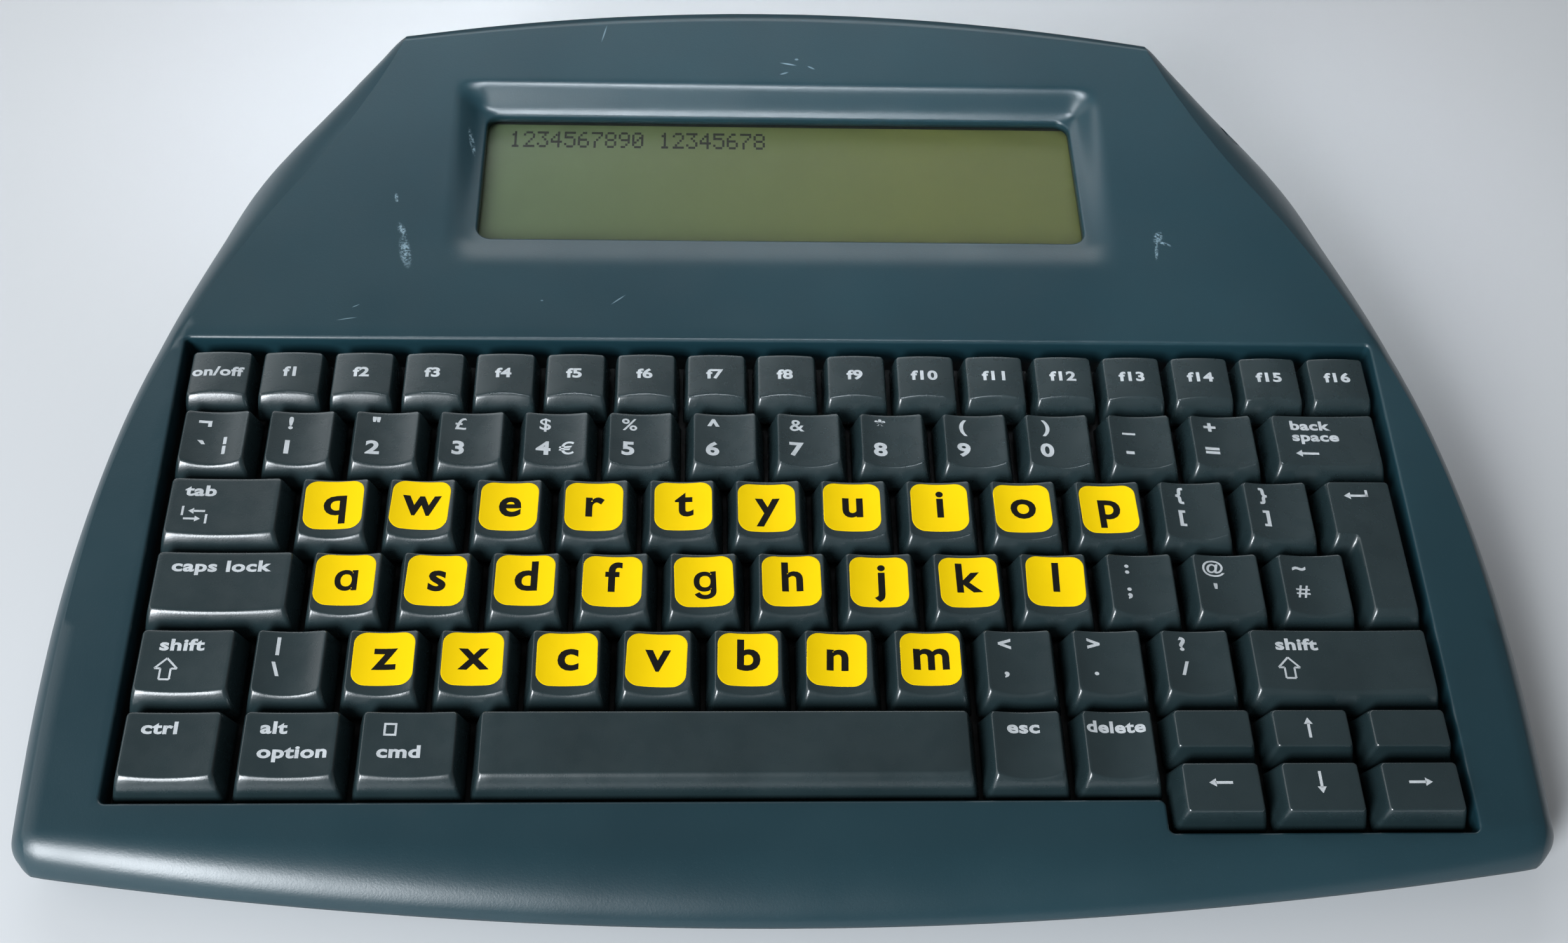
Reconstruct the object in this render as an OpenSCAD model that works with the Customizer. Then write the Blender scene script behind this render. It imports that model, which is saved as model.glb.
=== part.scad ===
// Electronic word processor: a wedge-shaped desk unit with a full keyboard in front
// and a narrow four-line display in a scooped recess behind it.
// The frame is X to the right, Y to the rear, Z up. The origin is the middle of the
// unit's outline on the surface that it stands on.

/* [Case] */
// Width over the case at its widest, just behind the front corners
body_w = 316.4; // [306:0.1:330]
// Depth over the middle of the front and rear arcs
body_d = 243; // [240:1:250]
// How far the front arc draws back at the front corners
front_sag = 13; // [12:0.5:16]
// How far the rear arc draws forward at the rear corners
rear_sag = 14.3; // [10:0.1:16]
// Wall of both case halves
case_wall = 2.2; // [1.6:0.1:2.6]
// Height of the deck at the front lip
lip_z = 17.0; // [16:0.1:19]
// Slope of the deck beside the keyboard, in degrees
deck_slope = 7.4; // [6.8:0.1:8]
// Slope of the deck round the display, in degrees
head_slope = 9.8; // [8.5:0.1:11]
// Depth of the rolled front lip at the middle
front_roll = 13.5; // [8:0.5:16]
// Depth of the rolled rear edge
rear_roll = 5; // [3:0.5:8]
// Height of the joint between the halves at the front
seam_z = 7.5; // [7:0.1:8.5]
// Slope of the joint between the halves, in degrees
seam_slope = 3.5; // [3:0.1:4]
// Gap between the two halves along the joint
seam_gap = 0.2; // [0.1:0.05:0.4]
// How far the base draws in towards its bottom edge
base_taper = 2.5; // [1:0.5:3]
// Radius of the case's four corners in plan
corner_r = 5; // [3:0.5:6]

/* [Keyboard] */
// Distance from one key to the next, on a case of full width
key_unit = 19.05; // [18.8:0.05:19.2]
// Slope of the key tops, in degrees
key_slope = 5.5; // [5.2:0.1:6]
// Height of the key tops on the front line of the home row
key_z = 24.1; // [23.8:0.1:25]
// Distance from the middle forward to the front line of the home row, on a case of full depth
key_at = 59.7; // [58:0.1:61]
// Gap between the skirts of two keys
key_gap = 0.9; // [0.7:0.05:1.2]
// Height of a keycap
cap_h = 7.5; // [7:0.1:7.6]
// Wall of a keycap
cap_wall = 1.2; // [0.9:0.1:1.4]
// How far a keycap's sides draw in from skirt to top
cap_side_in = 2.3; // [1.5:0.1:2.6]
// How far the front of a keycap draws in from skirt to top
cap_front_in = 3.9; // [3:0.1:4.4]
// The same for the half-height keys
half_front_in = 1.8; // [1.4:0.1:2]
// How far the rear of a keycap draws in from skirt to top
cap_rear_in = 0.9; // [0.5:0.1:1.4]
// Depth of the dish in a key top
dish = 1.1; // [0.6:0.1:1.3]
// Height of the crown on a function key
crown = 0.8; // [0.4:0.1:1]
// Key travel
travel = 2.8; // [2.2:0.1:2.8]
// Width of a key's square stem
stem_w = 3.4; // [3:0.1:3.8]
// Clearance round a stem in its guide
stem_gap = 0.3; // [0.25:0.05:0.4]
// Wall of a stem's guide
guide_wall = 1.0; // [0.8:0.1:1.2]
// Depth of the function row
fn_depth = 16.6; // [15.5:0.1:17]
// Clearance between the keys' cells and the sides of the well
well_side = 0.9; // [0.7:0.1:1.3]
// Clearance between the keys' cells and the front of the well
well_front = 0.75; // [0.6:0.05:0.9]
// Clearance between the function row's cells and the rear of the well
well_rear = 2.3; // [1.5:0.1:3]

/* [Display] */
// Width of the display window
window_w = 148.4; // [140:0.1:150]
// Depth of the display window along its own slope
window_d = 41.4; // [36:0.1:42]
// Corner radius of the display window
window_r = 3.5; // [2:0.5:5]
// Distance from the middle back to the front edge of the window, on a case of full depth
window_at = 45.5; // [44:0.1:47]
// Depth of the recess at the front edge of the window
recess_front = 1.4; // [1:0.1:2]
// Slope of the display, in degrees
window_slope = 5; // [4:0.1:6]
// Width of the scoop behind the window
scoop_rear = 6.5; // [5:0.1:8]
// Width of the run-out in front of the window
scoop_front = 10; // [8:0.5:12]
// Width of the run-out beside the window
scoop_side = 8; // [5:0.5:10]
// Thickness of the clear cover
lens_t = 1.2; // [1:0.1:1.5]
// How far the clear cover laps under the window's edge
lens_lap = 2.2; // [1.5:0.1:2.5]
// Thickness of the display glass
glass_t = 2.8; // [2:0.1:3]
// Thickness of the sheet metal frame round the display glass
frame_t = 0.5; // [0.4:0.05:0.8]

/* [Inside and underside] */
// Height of the rubber feet below the base
foot_h = 1.5; // [1.2:0.1:1.8]
// Radius of a rubber foot
foot_r = 7; // [5:0.5:8]
// Floor of the base
floor_t = 1.8; // [1.5:0.1:1.9]
// Radius of one cell
cell_r = 7.1; // [6.9:0.1:7.2]
// Length of one cell
cell_l = 50; // [49:0.1:50.5]
// Number of cells
cell_count = 3; // [2:1:3]
// Clearance round the cells
cell_gap = 0.5; // [0.4:0.1:0.8]
// Distance from the middle back to the battery bay, on a case of full depth
bay_at = 38; // [36:1:42]
// Wall of the battery bay
bay_wall = 1.5; // [1.2:0.1:1.8]
// Clearance round the battery door
door_gap = 0.4; // [0.3:0.05:0.6]
// Thickness of the main board
board_t = 1.6; // [1.2:0.1:2]
// Radius of a case screw's shank
screw_r = 1.2; // [1:0.1:1.3]
// Radius of a case screw's head
screw_head_r = 2.6; // [2.2:0.1:2.8]
// Clearance between a screw and its hole
screw_gap = 0.15; // [0.1:0.05:0.2]
// Outer radius of a screw boss
boss_r = 3.6; // [3.2:0.1:4]
// Travel of the reset button
reset_travel = 0.8; // [0.5:0.1:1]
// Length of the lock slot in the right flank
lock_l = 7; // [6.5:0.1:7.5]
// Height of the lock slot
lock_h = 3.2; // [3:0.1:3.4]

/* [Hidden] */
eps = 0.01;
rear_y = body_d / 2;
// The case at its full width and depth, and how much this one is wider and deeper than that
full_size = [316.4, 243];
wide = body_w / full_size[0];
deep = body_d / full_size[1];
pitch = key_unit * wide;
row_pitch = key_unit * deep;
key_back = key_at * deep;
window_y = window_at * deep;
bay_y = bay_at * deep;
case_col = [0.15, 0.23, 0.26];
key_col = [0.18, 0.24, 0.25];
steel_col = [0.7, 0.71, 0.73];
board_col = [0.1, 0.35, 0.2];

// Key field: X counts in key units from its left side, V in key units towards the user,
// from the front line of the number row
field_u = 14.5;
fn_keys = 17;
number_rear_v = -0.97;
arrow_split_v = 3.63;
arrow_front_v = 4.38;
arrow_left_u = 11.25;
fn_rear_v = number_rear_v - fn_depth / row_pitch;
function ku(u) = (u - field_u / 2) * pitch;
function kv(v) = (2 - v) * row_pitch;
module on_keys() translate([0, -key_back, key_z]) rotate([key_slope, 0, 0]) children();

// Levels below the key tops, square to them
press_gap = 0.4;
plate_t = 1.2;
plate_top = cap_h + travel + press_gap;
plate_low = plate_top + plate_t;
stem_low = plate_low - 0.5;
dome_gap = 0.2;
dome_sheet_t = 0.3;
dome_base = stem_low + travel + 0.7;
membrane_t = 0.3;
backplate_t = 0.8;
membrane_top = dome_base + dome_sheet_t;
backplate_top = membrane_top + membrane_t;
well_x = field_u / 2 * pitch + well_side;
well_rear_y = kv(fn_rear_v) + well_rear;
well_front_y = kv(4) - well_front;
notch_front_y = kv(arrow_front_v) - well_front;
notch_x = ku(arrow_left_u) - well_side;

// Deck heights: the lip runs in front of the well, the bend lies at the well's rear edge
lip_y = -key_back + well_front_y;
bend_y = -key_back + well_rear_y * cos(key_slope);
window_rear_y = window_y + window_d * cos(window_slope);
crest_y = window_rear_y + scoop_rear;
function deck_z(y) = y < bend_y
  ? lip_z + (y - lip_y) * tan(deck_slope)
  : lip_z + (bend_y - lip_y) * tan(deck_slope) + (y - bend_y) * tan(head_slope);
function seam_at(y) = seam_z + (y + rear_y) * tan(seam_slope) / deep;
window_z = deck_z(window_y) - recess_front;
function clamp01(t) = min(1, max(0, t));
function ease(t) = let (c = clamp01(t)) c * c * (3 - 2 * c);

// The display recess: a plane at the display's slope, faded out on its four sides
function recess_mask(x, y) =
  ease(1 - (abs(x) - window_w / 2) / scoop_side)
  * ease(1 - (y - window_rear_y) / scoop_rear)
  * ease(1 - (window_y - y) / scoop_front);
function recess_z(y) = window_z + (y - window_y) * tan(window_slope);
function top_z(x, y) = let (d = deck_z(y)) d - recess_mask(x, y) * max(0, d - recess_z(y));
module on_window() translate([0, window_y, window_z]) rotate([window_slope, 0, 0]) children();

// Plan outline and the deck's crease: half widths at even steps from the front edge to the
// rear edge, as shares of the largest half width, with a smooth curve through them
outline = [0.982, 0.9935, 1, 0.998, 0.984, 0.9627, 0.9305, 0.8895, 0.8405, 0.7373, 0.608];
crease = [0.961, 0.9645, 0.9683, 0.9657, 0.9518, 0.9202, 0.8671, 0.7919, 0.7015, 0.6295, 0.582];
steps = 10;
function at(t, i) = t[min(steps, max(0, i))];
function smooth(t, y) = let (
    u = min(steps - 0.0001, max(0, (y + rear_y) / body_d * steps)),
    i = floor(u),
    f = u - i,
    a = at(t, i - 1),
    b = at(t, i),
    c = at(t, i + 1),
    d = at(t, i + 2)
  ) b + f / 2 * (c - a + f * (2 * a - 5 * b + 4 * c - d + f * (3 * (b - c) + d - a)));
function half_w(y) = body_w / 2 * smooth(outline, y);
function crease_w(y) = body_w / 2 * smooth(crease, y);
rear_corner_y = rear_y - rear_sag;
rear_corner_x = half_w(rear_corner_y);
front_corner_y = -rear_y + front_sag;
front_corner_x = half_w(front_corner_y);
crease_front_w = 0.95 * front_corner_x;
crease_rear_w = crease_w(rear_corner_y);

// Quarter of an ellipse with a little slope left at its start, as the drop over a rolled edge
function roll_drop(u, soft) = 1 - (soft * u + (1 - soft) * (1 - sqrt(max(0, 1 - u * u))));
function flank_soft(y) = 0.22 + 0.08 * ease((y / deep + 10) / 80);
lip_soft = 0.05;
rear_soft = 0.22;

// Rows run from the front edge to the rear edge, columns from the left side to the right.
// A row is [distance from front to rear at the middle, front roll, rear roll].
function roll_steps(n) = [for (i = [0 : n]) sin(90 * i / n)];
function case_rows(n_roll) = let (s = roll_steps(n_roll)) concat(
  [for (i = [n_roll : -1 : 1]) [-rear_y + front_roll * (1 - s[i]), s[i], 0]],
  [for (y = [-rear_y + front_roll, lip_y + 1, -60 * deep, -20 * deep, bend_y,
             26 * deep, window_y - scoop_front, window_y - scoop_front / 2, window_y,
             window_y + window_d * 0.35, window_y + window_d * 0.7,
             window_rear_y, window_rear_y + scoop_rear * 0.35,
             window_rear_y + scoop_rear * 0.65, crest_y, crest_y + 8 * deep,
             crest_y + 16 * deep, rear_y - rear_roll]) [y, 0, 0]],
  [for (i = [1 : n_roll]) [rear_y - rear_roll * (1 - s[i]), 0, s[i]]]);
fixed_x = [0, 30, 56, window_w / 2 - 1, window_w / 2 + scoop_side * 0.4, window_w / 2 + scoop_side];
// A column is [fixed distance from the middle or 0, share of the way out to the crease, roll]
function half_columns(n_roll) = let (s = roll_steps(n_roll)) concat(
  [for (x = fixed_x) [x, 0, 0]], [[0, 0.5, 0], [0, 1, 0]],
  [for (i = [1 : n_roll]) [0, 1, s[i]]]);
function last(v) = v[len(v) - 1];

// One point of the case's top surface, drawn in by inset on all sides
function row_bend(y0, s_front, s_rear) =
  front_sag * clamp01((lip_y - y0) / (lip_y + rear_y)) * s_front * s_front
  - rear_sag * clamp01((y0 - crest_y) / (rear_y - crest_y)) * s_rear * s_rear;
function column_x(col, edge, outer) = col[1] == 0 ? col[0]
  : last(fixed_x) + (edge - last(fixed_x)) * col[1] + (outer - edge) * col[2];
// Maps the square corner of a patch onto a quarter circle: p and q are the distances from
// the two edges, and the result is how far the point draws in from each
function corner_in(p, q, r) = let (u = max(0, 1 - p / r), v = max(0, 1 - q / r))
  r * [u - u * sqrt(1 - v * v / 2), v - v * sqrt(1 - u * u / 2)];
function case_point(row, col, side, inset) =
  let (
    s_front = column_x(col, crease_front_w, front_corner_x) / front_corner_x,
    s_rear = column_x(col, crease_rear_w, rear_corner_x) / rear_corner_x,
    y_full = row[0] + row_bend(row[0], s_front, s_rear),
    edge = crease_w(y_full),
    x_full = column_x(col, edge, half_w(y_full)),
    gap_x = half_w(y_full) - x_full,
    f = corner_in(gap_x, y_full + rear_y - front_sag * s_front * s_front, corner_r),
    b = corner_in(gap_x, rear_y - rear_sag * s_rear * s_rear - y_full, corner_r),
    y = (y_full + f[1] - b[1]) * (1 - inset / rear_y),
    x = (x_full - f[0] - b[0]) * (1 - inset / half_w(y_full)),
    keep = roll_drop(col[2], flank_soft(y_full)) * roll_drop(row[1], lip_soft)
      * roll_drop(row[2], rear_soft),
    base = seam_at(y)
  )
  [side * x, y, base + (top_z(x_full, y_full) - inset - base) * keep];

// The case above the joint as one closed solid, with its flat underside drop below the joint
module case_solid(inset, drop, n_roll) {
  rows = case_rows(n_roll);
  half = half_columns(n_roll);
  cols = concat([for (i = [len(half) - 1 : -1 : 1]) [half[i], -1]], [for (c = half) [c, 1]]);
  nr = len(rows);
  nc = len(cols);
  tops = [for (r = rows) for (c = cols) case_point(r, c[0], c[1], inset)];
  rim = concat([for (i = [0 : nc - 1]) i], [for (j = [1 : nr - 1]) j * nc + nc - 1],
    [for (i = [nc - 2 : -1 : 0]) (nr - 1) * nc + i], [for (j = [nr - 2 : -1 : 1]) j * nc]);
  lows = [for (k = rim) [tops[k][0], tops[k][1], seam_at(tops[k][1]) - drop]];
  nt = len(tops);
  m = len(rim);
  polyhedron(
    points = concat(tops, lows, [[0, 0, seam_at(0) - drop]]),
    faces = concat(
      [for (j = [0 : nr - 2]) for (i = [0 : nc - 2]) for (h = [0, 1])
        let (a = j * nc + i, b = a + 1, c = a + nc + 1, d = a + nc)
        h == 0 ? [a, c, b] : [a, d, c]],
      [for (k = [0 : m - 1]) for (h = [0, 1])
        let (a = rim[k], b = rim[(k + 1) % m], c = nt + (k + 1) % m, d = nt + k)
        h == 0 ? [a, b, c] : [a, c, d]],
      [for (k = [0 : m - 1]) [nt + (k + 1) % m, nt + m, nt + k]]));
}

// A closed ring of the plan outline, drawn in by inset, at the height that each point asks for
ring_n = 8;
corner_steps = [0, 0.15, 0.4, 0.7];
function side_steps(l, r) = concat([for (c = corner_steps) c * r],
  [for (i = [0 : ring_n]) r + (l - 2 * r) * i / ring_n],
  [for (i = [3 : -1 : 1]) l - corner_steps[i] * r]);
ring_m = 4 * (ring_n + 8);
function ring_xy(inset) = let (
    r = max(1, corner_r - inset),
    y0 = front_corner_y + inset,
    w = half_w(y0) - inset,
    y1 = rear_corner_y - inset,
    w1 = half_w(y1) - inset,
    front = [for (t = side_steps(2 * w, r)) let (c = corner_in(min(t, 2 * w - t), 0, r), x = t - w)
      [x + (x > 0 ? -c[0] : c[0]), y0 - front_sag * (1 - x * x / w / w) + c[1]]],
    right = [for (t = side_steps(y1 - y0, r)) let (
      f = corner_in(0, t, r), b = corner_in(0, y1 - y0 - t, r))
      [half_w(y0 + t) - inset - f[0] - b[0], y0 + t + f[1] - b[1]]],
    rear = [for (t = side_steps(2 * w1, r)) let (c = corner_in(min(t, 2 * w1 - t), 0, r), x = w1 - t)
      [x + (x > 0 ? -c[0] : c[0]), y1 + rear_sag * (1 - x * x / w1 / w1) - c[1]]]
  ) concat(front, right, rear, [for (i = [0 : len(right) - 1]) i == 0
    ? [-w1 + corner_in(0, 0, r)[0], y1 - corner_in(0, 0, r)[1]]
    : [-right[len(right) - i][0], right[len(right) - i][1]]]);
// Stacked rings, each [inset, height at the seam or 0, height above the ground or 0]
function ring_at(r) = [for (p = ring_xy(r[0])) [p[0], p[1], r[1] * seam_at(p[1]) + r[2]]];
module ring_stack(rings) {
  m = ring_m;
  k = len(rings);
  low = k * m;
  high = low + 1;
  polyhedron(
    points = concat([for (r = rings) each ring_at(r)],
      [for (r = [rings[0], last(rings)]) [0, 0, r[1] * seam_at(0) + r[2]]]),
    faces = concat(
      [for (i = [0 : m - 1]) [i, (i + 1) % m, low]],
      [for (j = [0 : k - 2]) for (i = [0 : m - 1]) for (h = [0, 1])
        let (a = j * m + i, b = j * m + (i + 1) % m, c = b + m, d = a + m)
        h == 0 ? [a, c, b] : [a, d, c]],
      [for (i = [0 : m - 1]) [(k - 1) * m + (i + 1) % m, (k - 1) * m + i, high]]));
}

// Well outline in the key plane, grown on the sides and rear and, apart, at the front
module well_2d(grow, grow_front) {
  polygon([
    [-well_x - grow, well_front_y - grow_front],
    [notch_x - grow_front, well_front_y - grow_front],
    [notch_x - grow_front, notch_front_y - grow_front],
    [well_x + grow, notch_front_y - grow_front],
    [well_x + grow, well_rear_y + grow],
    [-well_x - grow, well_rear_y + grow]]);
}
skirt_t = 1.4;
skirt_low = plate_top - 0.2;
module well_skirt() {
  on_keys() translate([0, 0, -skirt_low]) linear_extrude(skirt_low + 20) difference() {
    well_2d(skirt_t, skirt_t);
    well_2d(0, 0);
  }
}

// A rounded rectangle as exact arcs
module arc_rect(w, d, r) {
  square([w - 2 * r, d], center = true);
  square([w, d - 2 * r], center = true);
  for (x = [-1, 1]) for (y = [-1, 1])
    translate([x * (w / 2 - r), y * (d / 2 - r)]) circle(r, $fn = 48);
}

// Places of the screws that hold the halves together
screw_x = well_x + skirt_t + boss_r + 0.4;
screw_places = [for (s = [-1, 1]) each [
  [s * screw_x, -84 * deep], [s * screw_x, -20 * deep],
  [s * 126 * wide, 34 * deep], [s * 91 * wide, 99 * deep]]];
head_deep = 5;
base_z = foot_h;
module at_screws() for (p = screw_places) translate([p[0], p[1], 0]) children();
lock_y = 88 * deep;
lock_z = 37;

// Ports along the rear edge, on the main board
board_z = 21.5;
board_top = board_z + board_t;
port_gap = 0.35;
usb_b = [-48 * wide, 12, 11];
usb_a = [-20 * wide, 13.2, 5.8];
dc = [14 * wide, 9.2, 11];
ir = [46 * wide, 16, 8];
port_depth = 14;
function rear_wall_y(x) = rear_y - rear_sag * pow(x / rear_corner_x, 2);
module port_cut(p, up) {
  translate([p[0] - p[1] / 2 - port_gap, rear_wall_y(p[0]) - port_depth, board_top - up])
    cube([p[1] + 2 * port_gap, port_depth + 10, p[2] + up + port_gap]);
}

module top_case() {
  color(case_col) difference() {
    union() {
      difference() {
        case_solid(0, 0, 4);
        case_solid(case_wall, 2, 3);
      }
      intersection() {
        case_solid(0, 0, 4);
        union() {
          well_skirt();
          at_screws() cylinder(r = boss_r, h = 60, $fn = 32);
        }
      }
    }
    on_keys() translate([0, 0, -skirt_low - 10]) linear_extrude(skirt_low + 40) well_2d(0, 0);
    on_window() translate([0, window_d / 2, -10]) linear_extrude(30)
      arc_rect(window_w, window_d, window_r);
    for (p = screw_places) translate([p[0], p[1], 0])
      cylinder(r = screw_r + screw_gap, h = deck_z(p[1]) - 3, $fn = 32);
    port_cut(usb_b, 4);
    port_cut(usb_a, 4);
    port_cut(dc, 4);
    port_cut(ir, 4);
    translate([half_w(lock_y) - 12, lock_y, lock_z]) rotate([0, 0, 30])
      translate([0, -lock_l / 2, -lock_h / 2]) cube([20, lock_l, lock_h]);
  }
}

// Base: floor, walls, bosses, battery bay and the seats of the feet
bay_x = cell_l / 2 + 4 + cell_gap;
bay_d = 2 * cell_r * cell_count + 2 * cell_gap;
cell_z = base_z + floor_t + 0.3 + cell_r;
bay_ceiling = cell_z + cell_r + cell_gap;
bay_top = bay_ceiling + bay_wall;
// The battery door lies in the floor on two ledges and slides to the rear out of its bay
door_edge = 2;
door_w = 2 * (bay_x - door_edge);
door_d = bay_d - 2 * door_edge;
door_t = 1.2;
door_slide = 6;
tongue_w = 1.2;
ledge_t = 0.6;
groove_x = door_w / 2 + tongue_w + 0.2;
door_y0 = bay_y + door_edge;
slot_y0 = door_y0 - door_gap;
slot_d = door_d + door_slide + 2 * door_gap;
pad_d = slot_y0 + slot_d + 2 - bay_y - bay_d;
// Posts under the main board, and ribs under the keyboard's steel backplate
board_posts = [for (s = [-1, 1]) each [[s * 74 * wide, 30 * deep], [s * 66 * wide, 92 * deep]]];
post_r = 3;
key_rib_y = [-40 * deep, 8 * deep];
key_rib_w = 2 * (well_x - 19);
key_rib_t = 2;
function under_keys_z(y) = key_z + (y + key_back) * tan(key_slope)
  - (backplate_top + backplate_t) / cos(key_slope);
feet_places = [for (s = [-1, 1]) each [[s * 128 * wide, -92 * deep], [s * 80 * wide, 88 * deep]]];
seat_deep = 0.8;
reset_place = [60 * wide, 30 * deep];
reset_r = 2;
reset_gap = 0.3;
reset_in = 0.4;
switch_h = 1.6;
module bottom_case() {
  color(case_col) difference() {
    union() {
      difference() {
        ring_stack([[base_taper + 1.2, 0, base_z], [base_taper, 0, base_z + 1.2], [0.4, 1, -seam_gap]]);
        ring_stack([[base_taper + case_wall + 0.8, 0, base_z + floor_t],
          [base_taper + case_wall - 0.2, 0, base_z + floor_t + 1], [case_wall + 0.3, 1, 2]]);
      }
      intersection() {
        ring_stack([[base_taper + 1.2, 0, base_z], [base_taper, 0, base_z + 1.2], [0.4, 1, -seam_gap]]);
        at_screws() cylinder(r = boss_r, h = 60, $fn = 32);
      }
      translate([-bay_x - bay_wall, bay_y - bay_wall, base_z])
        cube([2 * (bay_x + bay_wall), bay_d + 2 * bay_wall, bay_top - base_z]);
      translate([-bay_x - bay_wall, bay_y + bay_d, base_z])
        cube([2 * (bay_x + bay_wall), pad_d, floor_t + 1.2]);
      for (p = board_posts) translate([p[0], p[1], base_z])
        cylinder(r = post_r, h = board_z - 0.05 - base_z, $fn = 32);
      for (y = key_rib_y) translate([-key_rib_w / 2, y, base_z])
        cube([key_rib_w, key_rib_t, under_keys_z(y) - 0.3 - base_z]);
    }
    translate([-bay_x, bay_y, base_z + floor_t]) cube([2 * bay_x, bay_d, bay_ceiling - base_z - floor_t]);
    translate([-door_w / 2 - door_gap, slot_y0, -1])
      cube([door_w + 2 * door_gap, slot_d, base_z + floor_t + 1]);
    translate([-groove_x, slot_y0, base_z + ledge_t]) cube([2 * groove_x, slot_d, floor_t - ledge_t]);
    at_screws() {
      translate([0, 0, -1]) cylinder(r = screw_r + screw_gap, h = 40, $fn = 32);
      translate([0, 0, -1]) cylinder(r = screw_head_r + screw_gap, h = 1 + base_z + head_deep - 2, $fn = 32);
    }
    for (p = feet_places) translate([p[0], p[1], base_z - 1])
      cylinder(r = foot_r + 0.3, h = 1 + seat_deep, $fn = 64);
    translate([reset_place[0], reset_place[1], -1]) cylinder(r = reset_r + reset_gap, h = 10, $fn = 32);
  }
}

module screen_lens() {
  color([0.75, 0.8, 0.75, 0.35]) on_window()
    translate([0, window_d / 2, -case_wall - 0.3 - lens_t]) linear_extrude(lens_t)
    arc_rect(window_w + 2 * lens_lap, window_d + 2 * lens_lap, window_r + lens_lap);
}
glass_top = case_wall + 0.3 + lens_t + 0.3 + frame_t + 0.1;
module lcd_panel() {
  color([0.45, 0.5, 0.32]) on_window() translate([0, window_d / 2, -glass_top - glass_t / 2])
    cube([window_w + 1, window_d + 1, glass_t], center = true);
}
frame_side = 1.5;
module lcd_frame() {
  w = window_w + 1 + 2 * frame_side;
  d = window_d + 1 + 2 * frame_side;
  color(steel_col) on_window() translate([0, window_d / 2, -glass_top - glass_t])
    difference() {
      translate([-w / 2, -d / 2, 0]) cube([w, d, glass_t + frame_t + 0.1]);
      translate([-w / 2 + frame_t, -d / 2 + frame_t, -1]) cube([w - 2 * frame_t, d - 2 * frame_t, glass_t + 1.1]);
      translate([0, 0, -1]) linear_extrude(glass_t + 5) arc_rect(window_w - 2, window_d - 2, 2);
    }
}

board_x = 80 * wide;
board_y0 = 22 * deep;
board_y1 = 100 * deep;
strip_x = 58 * wide;
board_end = rear_wall_y(strip_x) - 8;
// Chips as [x, y, width, depth, height]
chips = [[-30, 60, 14, 14, 1.6], [10, 66, 20, 14, 1.4], [44, 50, 10, 18, 1.4], [-66, 70, 8, 8, 1.2]];
socket_d = 3.5;
module main_board() {
  color(board_col) {
    translate([-board_x, board_y0, board_z]) cube([2 * board_x, board_y1 - board_y0, board_t]);
    translate([-strip_x, board_y1 - eps, board_z]) cube([2 * strip_x, board_end - board_y1, board_t]);
  }
  color([0.1, 0.1, 0.1]) translate([reset_place[0] - 3, reset_place[1] - 3, board_z - switch_h])
    cube([6, 6, switch_h + eps]);
  color([0.85, 0.82, 0.75]) for (c = [key_cable_x, lcd_cable_x])
    translate([c - cable_w / 2 - 1.5, cable_socket_y, board_top - eps]) cube([cable_w + 3, socket_d, 3]);
  color([0.1, 0.1, 0.1]) for (c = chips)
    translate([c[0] * wide, c[1] * deep, board_top - eps]) cube([c[2], c[3], c[4]]);
}
module port_box(p, t) {
  translate([p[0] - p[1] / 2, rear_wall_y(p[0]) - port_depth, board_top])
    difference() {
      cube([p[1], port_depth - 0.6, p[2]]);
      translate([t, 2, t]) cube([p[1] - 2 * t, port_depth, p[2] - 2 * t]);
    }
}
module usb_b_port() {
  color(steel_col) port_box(usb_b, 0.9);
  color([0.9, 0.9, 0.88]) translate([usb_b[0] - 2.8, rear_wall_y(usb_b[0]) - port_depth + 1, board_top + 3.9])
    cube([5.6, 10, 3.2]);
}
module usb_a_port() {
  color(steel_col) port_box(usb_a, 0.5);
  color([0.9, 0.9, 0.88]) translate([usb_a[0] - 5.6, rear_wall_y(usb_a[0]) - port_depth + 1, board_top + 3.1])
    cube([11.2, 10.5, 1.7]);
}
module dc_jack() {
  y0 = rear_wall_y(dc[0]) - port_depth;
  color([0.08, 0.08, 0.08]) difference() {
    translate([dc[0] - dc[1] / 2, y0, board_top]) cube([dc[1], port_depth - 0.6, dc[2]]);
    translate([dc[0], y0 + 3, board_top + 6.2]) rotate([-90, 0, 0]) cylinder(r = 3.1, h = 20, $fn = 48);
  }
  color(steel_col) translate([dc[0], y0 + 2.5, board_top + 6.2]) rotate([-90, 0, 0])
    cylinder(r = 1, h = 8.5, $fn = 32);
}
module ir_window() {
  color([0.12, 0.02, 0.04]) translate([ir[0] - ir[1] / 2, rear_wall_y(ir[0] + ir[1] / 2) - 2.6, board_top - 0.6])
    cube([ir[1], 2.2, ir[2] + 0.6]);
}

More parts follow.
